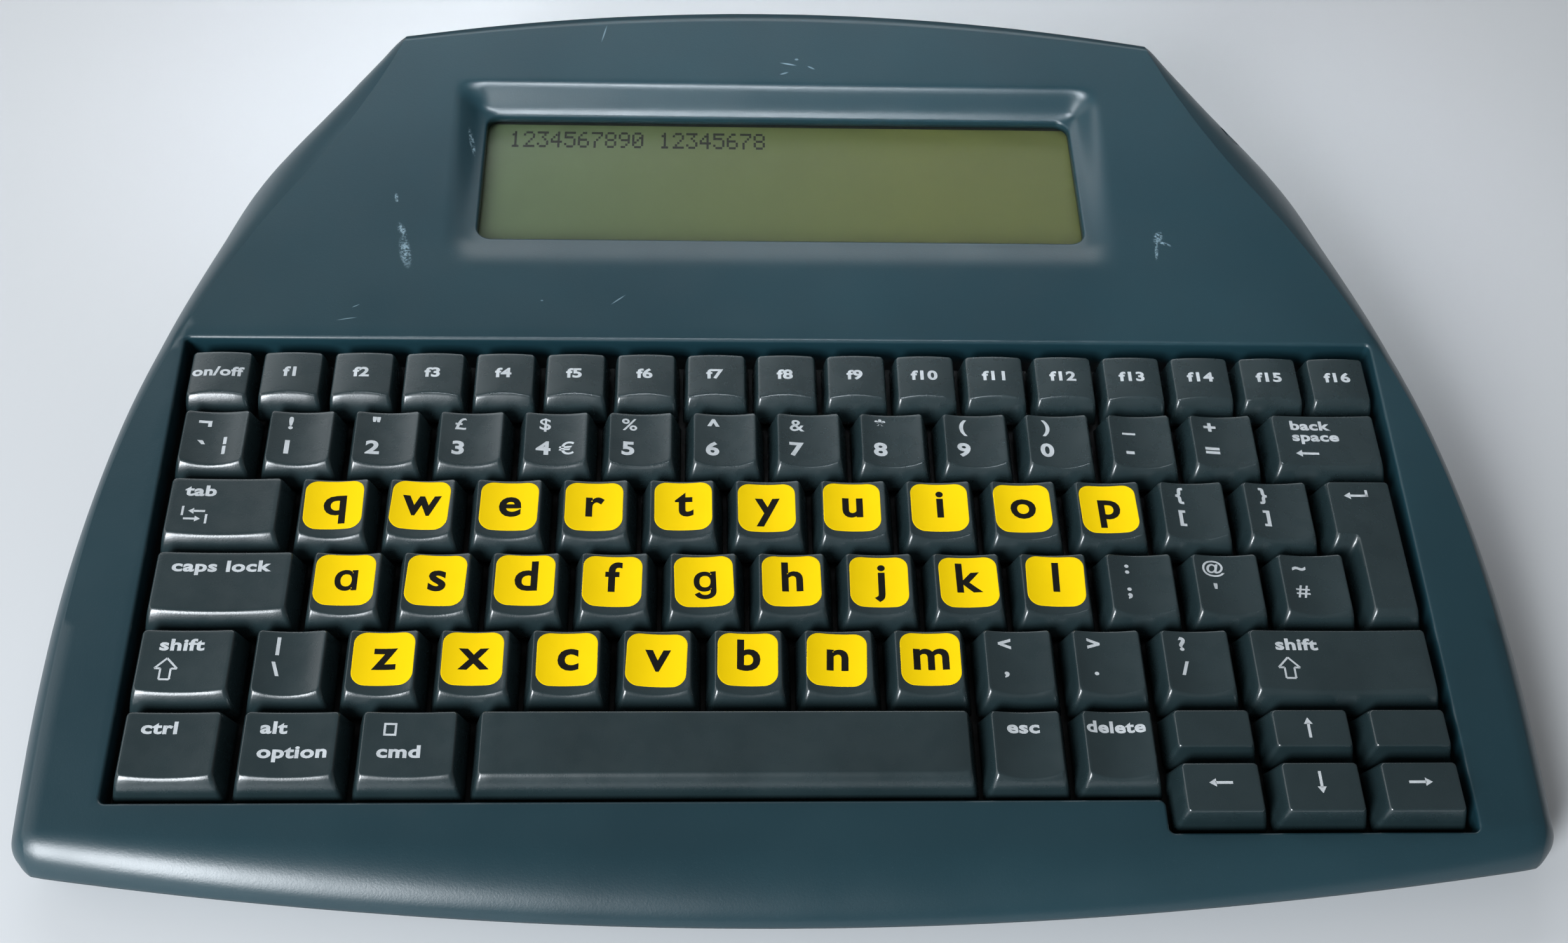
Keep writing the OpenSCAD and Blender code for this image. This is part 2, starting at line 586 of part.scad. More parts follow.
// Keycaps. A key is [left u, right u, rear v, front v, form]
DISHED = 0;
CROWNED = 1;
FLAT = 2;
HALF = 3;
function front_in(k) = k[4] == HALF ? half_front_in : cap_front_in;
module cap_taper(w, d, h, side_in, front_in, rear_in) {
  intersection() {
    rotate([90, 0, 0]) linear_extrude(d, center = true)
      polygon([[-w / 2, -h], [w / 2, -h], [w / 2 - side_in, 0], [-w / 2 + side_in, 0]]);
    rotate([90, 0, 90]) linear_extrude(w, center = true)
      polygon([[-d / 2, -h], [d / 2, -h], [d / 2 - rear_in, 0], [-d / 2 + front_in, 0]]);
  }
}
function dish_radius(half, drop) = (half * half + drop * drop) / (2 * drop);
module cap_outside(k) {
  w = (k[1] - k[0]) * pitch - key_gap;
  d = (k[3] - k[2]) * row_pitch - key_gap;
  top_half = w / 2 - cap_side_in;
  if (k[4] == DISHED) {
    r = dish_radius(top_half, dish);
    difference() {
      cap_taper(w, d, cap_h, cap_side_in, cap_front_in, cap_rear_in);
      translate([0, 0, r - dish]) rotate([90, 0, 0]) cylinder(r = r, h = d + 2, center = true, $fn = 360);
    }
  } else if (k[4] == CROWNED) {
    r = dish_radius(w / 2, crown);
    intersection() {
      cap_taper(w, d, cap_h, cap_side_in * 0.5, cap_front_in, cap_rear_in);
      translate([0, 0, -r]) rotate([90, 0, 0]) cylinder(r = r, h = d + 2, center = true, $fn = 360);
    }
  } else {
    cap_taper(w, d, cap_h, cap_side_in, front_in(k), cap_rear_in);
  }
}
cap_top_t = 1.4;
function inner_h() = cap_h - cap_top_t - dish;
module cap_inside(k) {
  w = (k[1] - k[0]) * pitch - key_gap - 2 * cap_wall;
  d = (k[3] - k[2]) * row_pitch - key_gap - 2 * cap_wall;
  share = inner_h() / cap_h;
  translate([0, 0, -cap_h + inner_h()])
    cap_taper(w, d, inner_h() + eps, cap_side_in * share, front_in(k) * share, cap_rear_in * share);
}
function key_mid(k) = [(ku(k[0]) + ku(k[1])) / 2, (kv(k[2]) + kv(k[3])) / 2];
module at_key(k) translate([key_mid(k)[0], key_mid(k)[1], 0]) children();
module key_stem(x, y) {
  translate([x - stem_w / 2, y - stem_w / 2, -stem_low])
    cube([stem_w, stem_w, stem_low - cap_h + inner_h() + eps]);
}
// A plain key: a hollow cap on one square stem
module key_at(k) {
  color(key_col) on_keys() {
    at_key(k) difference() {
      cap_outside(k);
      cap_inside(k);
    }
    key_stem(key_mid(k)[0], key_mid(k)[1]);
  }
}

// Key tables, one list a row
q_keys = [for (i = [0 : 9]) [1.5 + i, 2.5 + i, 0, 1, DISHED]];
a_keys = [for (i = [0 : 8]) [1.75 + i, 2.75 + i, 1, 2, DISHED]];
z_keys = [for (i = [0 : 6]) [2.25 + i, 3.25 + i, 2, 3, DISHED]];
fn_list = [for (i = [0 : fn_keys - 1])
  [i * field_u / fn_keys, (i + 1) * field_u / fn_keys, fn_rear_v, number_rear_v, CROWNED]];
number_list = [for (i = [0 : 12]) [i, i + 1, number_rear_v, 0, DISHED]];
symbol_list = concat(
  [for (i = [0, 1]) [11.5 + i, 12.5 + i, 0, 1, DISHED]],
  [for (i = [0 : 2]) [10.75 + i, 11.75 + i, 1, 2, DISHED]],
  [[1.25, 2.25, 2, 3, DISHED]],
  [for (i = [0 : 2]) [9.25 + i, 10.25 + i, 2, 3, DISHED]]);
modifier_list = concat(
  [for (i = [0 : 2]) [i * 1.25, (i + 1) * 1.25, 3, 4, DISHED]],
  [for (i = [0, 1]) [9.25 + i, 10.25 + i, 3, 4, DISHED]]);
arrow_u = (field_u - arrow_left_u) / 3;
arrow_list = concat(
  [for (i = [0 : 2]) [arrow_left_u + i * arrow_u, arrow_left_u + (i + 1) * arrow_u, 3, arrow_split_v, HALF]],
  [for (i = [0 : 2]) [arrow_left_u + i * arrow_u, arrow_left_u + (i + 1) * arrow_u,
    arrow_split_v, arrow_front_v, HALF]]);
space_key = [3.75, 9.25, 3, 4, FLAT];
back_key = [13, 14.5, number_rear_v, 0, DISHED];
tab_k = [0, 1.5, 0, 1, DISHED];
caps_k = [0, 1.75, 1, 2, DISHED];
shift_l = [0, 1.25, 2, 3, DISHED];
shift_r = [12.25, 14.5, 2, 3, DISHED];
enter_top = [13.5, 14.5, 0, 1, DISHED];
enter_tall = [13.75, 14.5, 0, 2, FLAT];
single_list = concat(q_keys, a_keys, z_keys, fn_list, number_list, symbol_list, modifier_list,
  arrow_list, [back_key, tab_k, caps_k, shift_l, shift_r]);
space_stems = [-40 * wide, 0, 40 * wide];
enter_stem = [ku(14.125), kv(1)];
stem_places = concat([for (k = single_list) key_mid(k)],
  [for (x = space_stems) [key_mid(space_key)[0] + x, key_mid(space_key)[1]]], [enter_stem]);

module space_bar() {
  mid = key_mid(space_key);
  color(key_col) on_keys() {
    at_key(space_key) difference() {
      cap_outside(space_key);
      cap_inside(space_key);
    }
    for (x = space_stems) key_stem(mid[0] + x, mid[1]);
    for (s = [-1, 1]) translate([mid[0] + s * hook_x, mid[1], 0]) hook();
  }
}
// The return key is an inverted L: a square upper part and a tall narrow one
module enter_key() {
  color(key_col) on_keys() {
    difference() {
      union() {
        at_key(enter_top) cap_outside([enter_top[0], enter_top[1], enter_top[2], enter_top[3], FLAT]);
        at_key(enter_tall) cap_outside(enter_tall);
      }
      at_key(enter_top) cap_inside(enter_top);
      at_key(enter_tall) cap_inside(enter_tall);
    }
    key_stem(enter_stem[0], enter_stem[1]);
  }
}
module function_keys() for (k = fn_list) key_at(k);
module number_keys() for (k = number_list) key_at(k);
module symbol_keys() for (k = symbol_list) key_at(k);
module modifier_keys() for (k = modifier_list) key_at(k);
module arrow_keys() for (k = arrow_list) key_at(k);
module backspace_key() key_at(back_key);
module tab_key() key_at(tab_k);
module caps_lock_key() key_at(caps_k);
module left_shift_key() key_at(shift_l);
module right_shift_key() key_at(shift_r);
module key_q() key_at(q_keys[0]);
module key_w() key_at(q_keys[1]);
module key_e() key_at(q_keys[2]);
module key_r() key_at(q_keys[3]);
module key_t() key_at(q_keys[4]);
module key_y() key_at(q_keys[5]);
module key_u() key_at(q_keys[6]);
module key_i() key_at(q_keys[7]);
module key_o() key_at(q_keys[8]);
module key_p() key_at(q_keys[9]);
module key_a() key_at(a_keys[0]);
module key_s() key_at(a_keys[1]);
module key_d() key_at(a_keys[2]);
module key_f() key_at(a_keys[3]);
module key_g() key_at(a_keys[4]);
module key_h() key_at(a_keys[5]);
module key_j() key_at(a_keys[6]);
module key_k() key_at(a_keys[7]);
module key_l() key_at(a_keys[8]);
module key_z() key_at(z_keys[0]);
module key_x() key_at(z_keys[1]);
module key_c() key_at(z_keys[2]);
module key_v() key_at(z_keys[3]);
module key_b() key_at(z_keys[4]);
module key_n() key_at(z_keys[5]);
module key_m() key_at(z_keys[6]);

// Key frame: a plate with a square guide for each stem
guide_in = stem_w + 2 * stem_gap;
guide_up = inner_h() - travel - 0.6;
frame_grow = skirt_t;
frame_front = 0.4;
module key_frame() {
  mid = key_mid(space_key);
  color([0.12, 0.13, 0.14]) on_keys() {
    translate([0, 0, -plate_low]) linear_extrude(plate_t) difference() {
      well_2d(frame_grow, frame_front);
      for (p = stem_places) translate(p) square(guide_in, center = true);
      for (s = [-1, 1]) translate([mid[0] + s * hook_x - hook_t / 2 - 0.6, mid[1] + hook_y0 - 0.6])
        square([hook_t + 1.2, hook_y1 - hook_y0 + 1.2]);
    }
    translate([0, 0, -plate_top - eps]) linear_extrude(guide_up + press_gap + travel) difference() {
      for (p = stem_places) translate(p) square(guide_in + 2 * guide_wall, center = true);
      for (p = stem_places) translate(p) square(guide_in, center = true);
    }
    translate([0, 0, -dome_base + 0.1]) linear_extrude(dome_base - 0.1 - plate_low + eps) difference() {
      well_2d(frame_grow, frame_front);
      well_2d(frame_grow - 1.2, frame_front - 1.2);
    }
    for (s = [-1, 1]) translate([mid[0] + s * clip_x, mid[1] + wire_y, -plate_top]) clip();
  }
}

// Space bar stabiliser: a wire that turns in two clips on the key frame and lifts both
// ends of the bar together. Its tips lie in slotted hooks under the bar.
wire_r = 0.6;
wire_gap = 0.3;
arm_x = 46 * wide;
clip_x = 30 * wide;
clip_w = 3;
wire_y = 5.2;
wire_low = plate_top - wire_r - 0.7;
arm_l = 10;
arm_rise = asin(travel / arm_l);
tip_y_rest = wire_y - arm_l * cos(arm_rise);
tip_y_down = wire_y - arm_l;
tip_low = wire_low - travel;
hook_x = arm_x + 1.8;
hook_t = 1.2;
tip_l = 3.2;
hook_y0 = tip_y_down - wire_r - wire_gap - 1;
hook_y1 = tip_y_rest + wire_r + wire_gap + 1;
module clip() {
  difference() {
    translate([-clip_w / 2, -2, -eps]) cube([clip_w, 4, 3]);
    translate([0, 0, plate_top - wire_low]) rotate([0, 90, 0])
      cylinder(r = wire_r + 0.1, h = clip_w + 2, center = true, $fn = 32);
  }
}
module hook() {
  top = cap_h - inner_h();
  low = tip_low + wire_r + wire_gap + 0.8;
  difference() {
    translate([-hook_t / 2, hook_y0, -low]) cube([hook_t, hook_y1 - hook_y0, low - top + eps]);
    translate([-hook_t, hook_y0 + 1, -tip_low - wire_r - wire_gap])
      cube([2 * hook_t, hook_y1 - hook_y0 - 2, 2 * (wire_r + wire_gap)]);
  }
}
module space_stabiliser() {
  mid = key_mid(space_key);
  color(steel_col) on_keys() translate([mid[0], mid[1] + wire_y, -wire_low]) {
    rotate([0, 90, 0]) cylinder(r = wire_r, h = 2 * arm_x, center = true, $fn = 32);
    for (s = [-1, 1]) translate([s * arm_x, 0, 0]) rotate([-arm_rise, 0, 0]) {
      sphere(r = wire_r, $fn = 32);
      rotate([90, 0, 0]) cylinder(r = wire_r, h = arm_l, $fn = 32);
      translate([0, -arm_l, 0]) {
        sphere(r = wire_r, $fn = 32);
        rotate([0, s * 90, 0]) cylinder(r = wire_r, h = tip_l, $fn = 32);
      }
    }
  }
}

dome_h = dome_base - stem_low - dome_gap;
module dome_sheet() {
  color([0.75, 0.75, 0.72]) on_keys() translate([0, 0, -dome_base - dome_sheet_t]) {
    linear_extrude(dome_sheet_t) well_2d(frame_grow - 0.4, frame_front - 0.4);
    for (p = stem_places) translate([p[0], p[1], dome_sheet_t - 0.05])
      cylinder(r1 = stem_w / 2 + 2.9, r2 = stem_w / 2 - 0.2, h = dome_h + 0.05, $fn = 24);
  }
}
module membrane() {
  color([0.85, 0.8, 0.6]) on_keys() translate([0, 0, -membrane_top - membrane_t + 0.02])
    linear_extrude(membrane_t - 0.04) well_2d(frame_grow - 0.4, frame_front - 0.4);
}
module key_backplate() {
  color(steel_col) on_keys() translate([0, 0, -backplate_top - backplate_t])
    linear_extrude(backplate_t) well_2d(frame_grow, frame_front - 0.4);
}

// Cells, their contacts and the door
module batteries() {
  for (i = [0 : cell_count - 1])
    translate([-cell_l / 2, bay_y + cell_gap + cell_r * (2 * i + 1), cell_z]) rotate([0, 90, 0]) {
      color([0.2, 0.2, 0.22]) cylinder(r = cell_r - 0.15, h = cell_l - 1, $fn = 64);
      color(steel_col) translate([0, 0, cell_l - 1 - eps]) cylinder(r = 2.7, h = 1, $fn = 32);
    }
}
// Each cell has a flat plate at its cap and a coned spring at its base
contact_t = 0.4;
contact_x = bay_x - contact_t - 0.1;
module battery_contacts() {
  color(steel_col) for (i = [0 : cell_count - 1])
    translate([0, bay_y + cell_gap + cell_r * (2 * i + 1), cell_z]) {
      for (s = [-1, 1]) translate([s * (contact_x + contact_t / 2), 0, 0])
        cube([contact_t, 2 * cell_r - 2, 2 * cell_r - 2], center = true);
      translate([cell_l / 2 + 0.4, 0, 0]) rotate([0, 90, 0])
        cylinder(r = 2.4, h = contact_x - cell_l / 2 - 0.4 + eps, $fn = 32);
      translate([-contact_x - eps, 0, 0]) rotate([0, 90, 0])
        cylinder(r1 = 4.8, r2 = 3.2, h = contact_x - cell_l / 2 - 0.4, $fn = 32);
    }
}
// The door has a tongue on each side, ribs that carry the cells and grooves for a finger
grip_n = 5;
rib_x = [-16, 16];
module battery_door() {
  color(case_col) translate([0, door_y0, base_z]) difference() {
    union() {
      translate([-door_w / 2, 0, 0]) cube([door_w, door_d, door_t]);
      translate([-door_w / 2 - tongue_w, 0, ledge_t + 0.1])
        cube([door_w + 2 * tongue_w, door_d, door_t - ledge_t - 0.1]);
      for (x = rib_x) translate([x - 0.75, 2, door_t - eps])
        cube([1.5, door_d - door_slide - 4, cell_z - cell_r - base_z - door_t - 0.1]);
    }
    for (i = [0 : grip_n - 1]) translate([-9, door_d - 5 - 2 * i, -1]) cube([18, 1, 1.5]);
  }
}
module rubber_feet() {
  color([0.08, 0.08, 0.08]) for (p = feet_places) translate([p[0], p[1], 0])
    cylinder(r = foot_r, h = base_z + seat_deep, $fn = 64);
}
module case_screws() {
  color(steel_col) at_screws() {
    translate([0, 0, base_z + head_deep - 2 - 1.8]) cylinder(r = screw_head_r, h = 1.8, $fn = 32);
    translate([0, 0, base_z + head_deep - 2 - eps]) cylinder(r = screw_r, h = 9, $fn = 32);
  }
}
module reset_button() {
  color([0.6, 0.1, 0.1]) translate([reset_place[0], reset_place[1], base_z + reset_in]) {
    cylinder(r = reset_r, h = 6, $fn = 32);
    translate([0, 0, floor_t - reset_in + 0.3]) cylinder(r = reset_r + 1, h = 1, $fn = 32);
    cylinder(r = reset_r - 0.6, h = board_z - switch_h - reset_travel - 0.2 - base_z - reset_in, $fn = 32);
  }
}

// Flat cables, as strips along a path of [y, z] points
cable_w = 24;
cable_t = 0.3;
key_cable_x = -60 * wide;
lcd_cable_x = 20 * wide;
cable_socket_y = board_y0 + 4;
module strip(x, pts) {
  n = len(pts);
  translate([x - cable_w / 2, 0, 0]) rotate([90, 0, 90]) linear_extrude(cable_w)
    polygon(concat(pts, [for (i = [n - 1 : -1 : 0]) pts[i] + cable_t * strip_normal(pts, i)]));
}
function unit(v) = v / norm(v);
function strip_normal(pts, i) = let (
  n = len(pts),
  a = unit(pts[min(n - 1, i + 1)] - pts[max(0, i - 1)])
) [-a[1], a[0]];
tail_y = -key_back + (well_rear_y + frame_grow) * cos(key_slope) + membrane_top * sin(key_slope) + 0.3;
tail_z = under_keys_z(tail_y) + backplate_t + 0.4;
module flat_cables() {
  color([0.85, 0.8, 0.6]) {
    strip(key_cable_x, [[tail_y, tail_z], [board_y0 - 2.2, tail_z + 0.6],
      [board_y0 - 1, tail_z + 2], [board_y0 - 1, board_top + 0.6],
      [board_y0, board_top + 1.6], [cable_socket_y - 0.3, board_top + 1.6]]);
    strip(lcd_cable_x, [[cable_socket_y + 4, board_top + 1.2], [cable_socket_y + 6, board_top + 1.4],
      [window_y - 5, window_z - glass_top - glass_t - 2], [window_y + 4, window_z - glass_top - glass_t - 0.5]]);
  }
}

top_case();
bottom_case();
screen_lens();
lcd_panel();
lcd_frame();
main_board();
usb_b_port();
usb_a_port();
dc_jack();
ir_window();
key_frame();
dome_sheet();
membrane();
key_backplate();
battery_door();
batteries();
battery_contacts();
rubber_feet();
case_screws();
reset_button();
space_stabiliser();
flat_cables();
key_q();
key_w();
key_e();
key_r();
key_t();
key_y();
key_u();
key_i();
key_o();
key_p();
key_a();
key_s();
key_d();
key_f();
key_g();
key_h();
key_j();
key_k();
key_l();
key_z();
key_x();
key_c();
key_v();
key_b();
key_n();
key_m();
space_bar();
enter_key();
backspace_key();
tab_key();
caps_lock_key();
left_shift_key();
right_shift_key();
function_keys();
number_keys();
symbol_keys();
modifier_keys();
arrow_keys();
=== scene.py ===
from functools import cache
import math

import bmesh
import bpy
import numpy as np
from mathutils import Matrix, Vector
from mathutils.bvhtree import BVHTree
from mathutils.geometry import delaunay_2d_cdt


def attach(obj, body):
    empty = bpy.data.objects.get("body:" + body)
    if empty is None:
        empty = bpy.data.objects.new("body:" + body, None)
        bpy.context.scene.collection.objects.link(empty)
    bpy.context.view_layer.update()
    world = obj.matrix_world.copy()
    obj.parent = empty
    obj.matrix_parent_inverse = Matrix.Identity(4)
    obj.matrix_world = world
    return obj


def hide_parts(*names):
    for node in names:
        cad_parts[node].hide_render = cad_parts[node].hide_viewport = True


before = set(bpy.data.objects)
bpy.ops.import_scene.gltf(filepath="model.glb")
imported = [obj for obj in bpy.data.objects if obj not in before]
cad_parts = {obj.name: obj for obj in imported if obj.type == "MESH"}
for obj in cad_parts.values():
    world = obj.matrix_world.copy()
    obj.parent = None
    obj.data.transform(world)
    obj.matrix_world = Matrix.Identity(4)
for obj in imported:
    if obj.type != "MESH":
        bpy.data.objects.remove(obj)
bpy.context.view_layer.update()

# Sizes in mm, as in the part's source, apart from two: the keycaps' sides and fronts draw in
# a little less here. The tables are shares of the half width at even steps from front to rear.
BODY_W, BODY_D = 316.4, 243.0
REAR_Y = BODY_D / 2
FRONT_SAG, REAR_SAG = 13.0, 14.3
OUTLINE = np.array([0.982, 0.9935, 1, 0.998, 0.984, 0.9627, 0.9305, 0.8895, 0.8405, 0.7373, 0.608])
CREASE = np.array([0.961, 0.9645, 0.9683, 0.9657, 0.9518, 0.9202, 0.8671, 0.7919, 0.7015,
                   0.6295, 0.582])
LIP_Z, DECK_SLOPE, HEAD_SLOPE = 17.0, 7.4, 9.8
FRONT_ROLL, REAR_ROLL = 13.5, 5.0
SEAM_Z, SEAM_SLOPE, CORNER_R = 7.5, 3.5, 5.0
PITCH, KEY_SLOPE, KEY_Z, KEY_BACK, KEY_GAP = 19.05, math.radians(5.5), 24.1, 59.7, 0.9
CAP_H, CAP_WALL, SIDE_IN, FRONT_IN, HALF_FRONT_IN, REAR_IN = 7.5, 1.2, 1.9, 3.2, 1.8, 0.9
DISH, WIDE_DISH, CROWN = 1.1, 0.5, 0.8
FN_DEPTH, WELL_SIDE, WELL_FRONT, WELL_REAR = 16.6, 0.9, 0.75, 2.3
WIN_W, WIN_D, WIN_R, WIN_Y, RECESS, WIN_SLOPE = 148.4, 41.4, 3.5, 45.5, 1.4, 5.0
SCOOP_REAR, SCOOP_FRONT, SCOOP_SIDE = 6.5, 10.0, 8.0
# The key grid, in key spacings: width, rear edge of the digit row, arrow keys' left edge and
# front edge
FIELD_U, NUM_REAR_V, ARROW_U, ARROW_V = 14.5, -0.97, 11.25, 4.38
FN_REAR_V = NUM_REAR_V - FN_DEPTH / PITCH
# How much of a straight chamfer each roll has, and the half width on which p is x
LIP_SOFT, REAR_SOFT, FLANK_SOFT, FLANK_SOFTER = 0.05, 0.22, 0.22, 0.08
FIXED = WIN_W / 2 + SCOOP_SIDE


def tand(a):
    return math.tan(math.radians(a))


def ku(u):
    """Key grid to key plane, across; kv does the same from rear to front."""
    return (u - FIELD_U / 2) * PITCH


def kv(v):
    return (2 - v) * PITCH


WELL_X = FIELD_U / 2 * PITCH + WELL_SIDE
WELL_REAR_Y = kv(FN_REAR_V) + WELL_REAR
WELL_FRONT_Y = kv(4) - WELL_FRONT
NOTCH_Y = kv(ARROW_V) - WELL_FRONT
NOTCH_X = ku(ARROW_U) - WELL_SIDE
LIP_Y = -KEY_BACK + WELL_FRONT_Y
BEND_Y = -KEY_BACK + WELL_REAR_Y * math.cos(KEY_SLOPE)
WIN_REAR_Y = WIN_Y + WIN_D * math.cos(math.radians(WIN_SLOPE))
CREST_Y = WIN_REAR_Y + SCOOP_REAR
REAR_CORNER_Y = REAR_Y - REAR_SAG


def smooth(t, y):
    """Smooth curve through a table at even steps: b + f/2 (c - a + f (2a - 5b + 4c - d
    + f (3(b - c) + d - a))) between the neighbours a, b, c, d."""
    u = np.clip((np.asarray(y, float) + REAR_Y) / BODY_D * 10, 0, 9.9999)
    i = np.floor(u).astype(int)
    f = u - i
    a, b, c, d = (t[np.clip(i + k, 0, 10)] for k in (-1, 0, 1, 2))
    return b + f / 2 * (c - a + f * (2 * a - 5 * b + 4 * c - d + f * (3 * (b - c) + d - a)))


def half_w(y):
    return BODY_W / 2 * smooth(OUTLINE, y)


def crease_w(y):
    return BODY_W / 2 * smooth(CREASE, y)


REAR_CORNER_X = float(half_w(REAR_CORNER_Y))
FRONT_CORNER_X = float(half_w(-REAR_Y + FRONT_SAG))
CREASE_FRONT, CREASE_REAR = 0.95 * FRONT_CORNER_X, float(crease_w(REAR_CORNER_Y))


def deck_z(y):
    at_bend = LIP_Z + (BEND_Y - LIP_Y) * tand(DECK_SLOPE)
    return np.where(y < BEND_Y, LIP_Z + (y - LIP_Y) * tand(DECK_SLOPE),
                    at_bend + (y - BEND_Y) * tand(HEAD_SLOPE))


WIN_Z = float(deck_z(np.float64(WIN_Y))) - RECESS


def seam_at(y):
    return SEAM_Z + (y + REAR_Y) * tand(SEAM_SLOPE)


def ease(t):
    t = np.clip(t, 0, 1)
    return t * t * (3 - 2 * t)


def top_z(x, y):
    """Deck height with the display recess: the recess plane, faded out on four sides."""
    d = deck_z(y)
    mask = (ease(1 - (np.abs(x) - WIN_W / 2) / SCOOP_SIDE)
            * ease(1 - (y - WIN_REAR_Y) / SCOOP_REAR) * ease(1 - (WIN_Y - y) / SCOOP_FRONT))
    return d - mask * np.maximum(0, d - (WIN_Z + (y - WIN_Y) * tand(WIN_SLOPE)))


def flank_soft(y):
    return FLANK_SOFT + FLANK_SOFTER * ease((y + 10) / 80)


def roll_drop(u, soft):
    """What is left of the height at a share u of a roll: a chamfer 1 - u and a quarter
    circle sqrt(1 - u^2), mixed."""
    return 1 - (soft * u + (1 - soft) * (1 - np.sqrt(np.maximum(0, 1 - u * u))))


def corner_in(p, q, r):
    """Square to quarter circle: (u, v) -> (u sqrt(1 - v^2/2), v sqrt(1 - u^2/2))."""
    u, v = np.maximum(0, 1 - p / r), np.maximum(0, 1 - q / r)
    return r * (u - u * np.sqrt(1 - v * v / 2)), r * (v - v * np.sqrt(1 - u * u / 2))


# The case top is one surface over a flat parameter plane (p, q): p runs from the middle to
# the side, q from the lip to the rear edge, and both go on over the rolled edges.
ROLL_P, ROLL_F, ROLL_R = 22.0, 17.0, 12.0
Q_FRONT, Q_REAR = -REAR_Y + FRONT_ROLL, REAR_Y - REAR_ROLL
P_MAX, Q_MIN, Q_MAX = CREASE_FRONT + ROLL_P, Q_FRONT - ROLL_F, Q_REAR + ROLL_R


def column_x(ap, edge, outer):
    """|p| -> |x|: x is p on the fixed width, an even share of the way to the crease, then
    a sine over the roll."""
    share = np.clip((ap - FIXED) / (CREASE_FRONT - FIXED), 0, 1)
    roll = np.sin(np.clip((ap - CREASE_FRONT) / ROLL_P, 0, 1) * math.pi / 2)
    return np.where(ap <= FIXED, ap, FIXED + (edge - FIXED) * share + (outer - edge) * roll)


def case_surface(p, q):
    """(p, q) -> (x, y, z): H = seam + (top - seam) * flank roll * front roll * rear roll."""
    ap = np.abs(p)
    s_f = np.sin(np.clip((Q_FRONT - q) / ROLL_F, 0, 1) * math.pi / 2)
    s_r = np.sin(np.clip((q - Q_REAR) / ROLL_R, 0, 1) * math.pi / 2)
    y0 = np.clip(q, Q_FRONT, Q_REAR) - FRONT_ROLL * s_f + REAR_ROLL * s_r
    a = column_x(ap, CREASE_FRONT, FRONT_CORNER_X) / FRONT_CORNER_X
    b = column_x(ap, CREASE_REAR, REAR_CORNER_X) / REAR_CORNER_X
    y = (y0 + FRONT_SAG * np.clip((LIP_Y - y0) / (LIP_Y + REAR_Y), 0, 1) * a * a
         - REAR_SAG * np.clip((y0 - CREST_Y) / (REAR_Y - CREST_Y), 0, 1) * b * b)
    x = column_x(ap, crease_w(y), half_w(y))
    gap = half_w(y) - x
    f = corner_in(gap, y + REAR_Y - FRONT_SAG * a * a, CORNER_R)
    r = corner_in(gap, REAR_Y - REAR_SAG * b * b - y, CORNER_R)
    roll = np.sin(np.clip((ap - CREASE_FRONT) / ROLL_P, 0, 1) * math.pi / 2)
    keep = roll_drop(roll, flank_soft(y)) * roll_drop(s_f, LIP_SOFT) * roll_drop(s_r, REAR_SOFT)
    y2 = y + f[1] - r[1]
    z = seam_at(y2) + (top_z(x, y) - seam_at(y2)) * keep
    return np.stack([np.sign(p) * (x - f[0] - r[0]), y2, z], -1)


def case_param(x, y):
    """Inverse of case_surface in plan, for places on the deck inside the crease."""
    edge = crease_w(y)
    ax = np.abs(x)
    p = np.where(ax <= FIXED, ax, FIXED + (ax - FIXED) / (edge - FIXED) * (CREASE_FRONT - FIXED))
    a = column_x(p, CREASE_FRONT, FRONT_CORNER_X) / FRONT_CORNER_X
    k = FRONT_SAG * a * a / (LIP_Y + REAR_Y)
    y0 = np.where(y < LIP_Y, (y - k * LIP_Y) / (1 - k), y)
    s = np.clip((Q_FRONT - y0) / FRONT_ROLL, 0, 1)
    return np.sign(x) * p, np.where(y0 < Q_FRONT, Q_FRONT - np.arcsin(s) / (math.pi / 2) * ROLL_F, y0)


def make(name, verts, faces, body, mat, replaces=(), smooth=True):
    """A mesh piece from points in mm, riding on a body, with its material."""
    me = bpy.data.meshes.new(name)
    me.from_pydata((np.asarray(verts, float) * 0.001).tolist(), [], [tuple(map(int, f)) for f in faces])
    me.validate()
    me.materials.append(mat)
    me.polygons.foreach_set("use_smooth", [smooth] * len(me.polygons))
    ob = bpy.data.objects.new(name, me)
    bpy.context.scene.collection.objects.link(ob)
    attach(ob, body)
    if replaces:
        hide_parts(*replaces)
    return ob


def strip(a, b, n):
    """Quads between two closed rows of n points that start at indices a and b."""
    return [(a + i, a + (i + 1) % n, b + (i + 1) % n, b + i) for i in range(n)]


def signed_area(p):
    """Twice the area of a closed polygon, above 0 where it runs counter-clockwise."""
    p = np.asarray(p, float)
    q = np.roll(p, -1, 0)
    return float((p[:, 0] * q[:, 1] - q[:, 0] * p[:, 1]).sum())


def box_loop(x0, y0, x1, y1):
    return [(x0, y0), (x1, y0), (x1, y1), (x0, y1)]


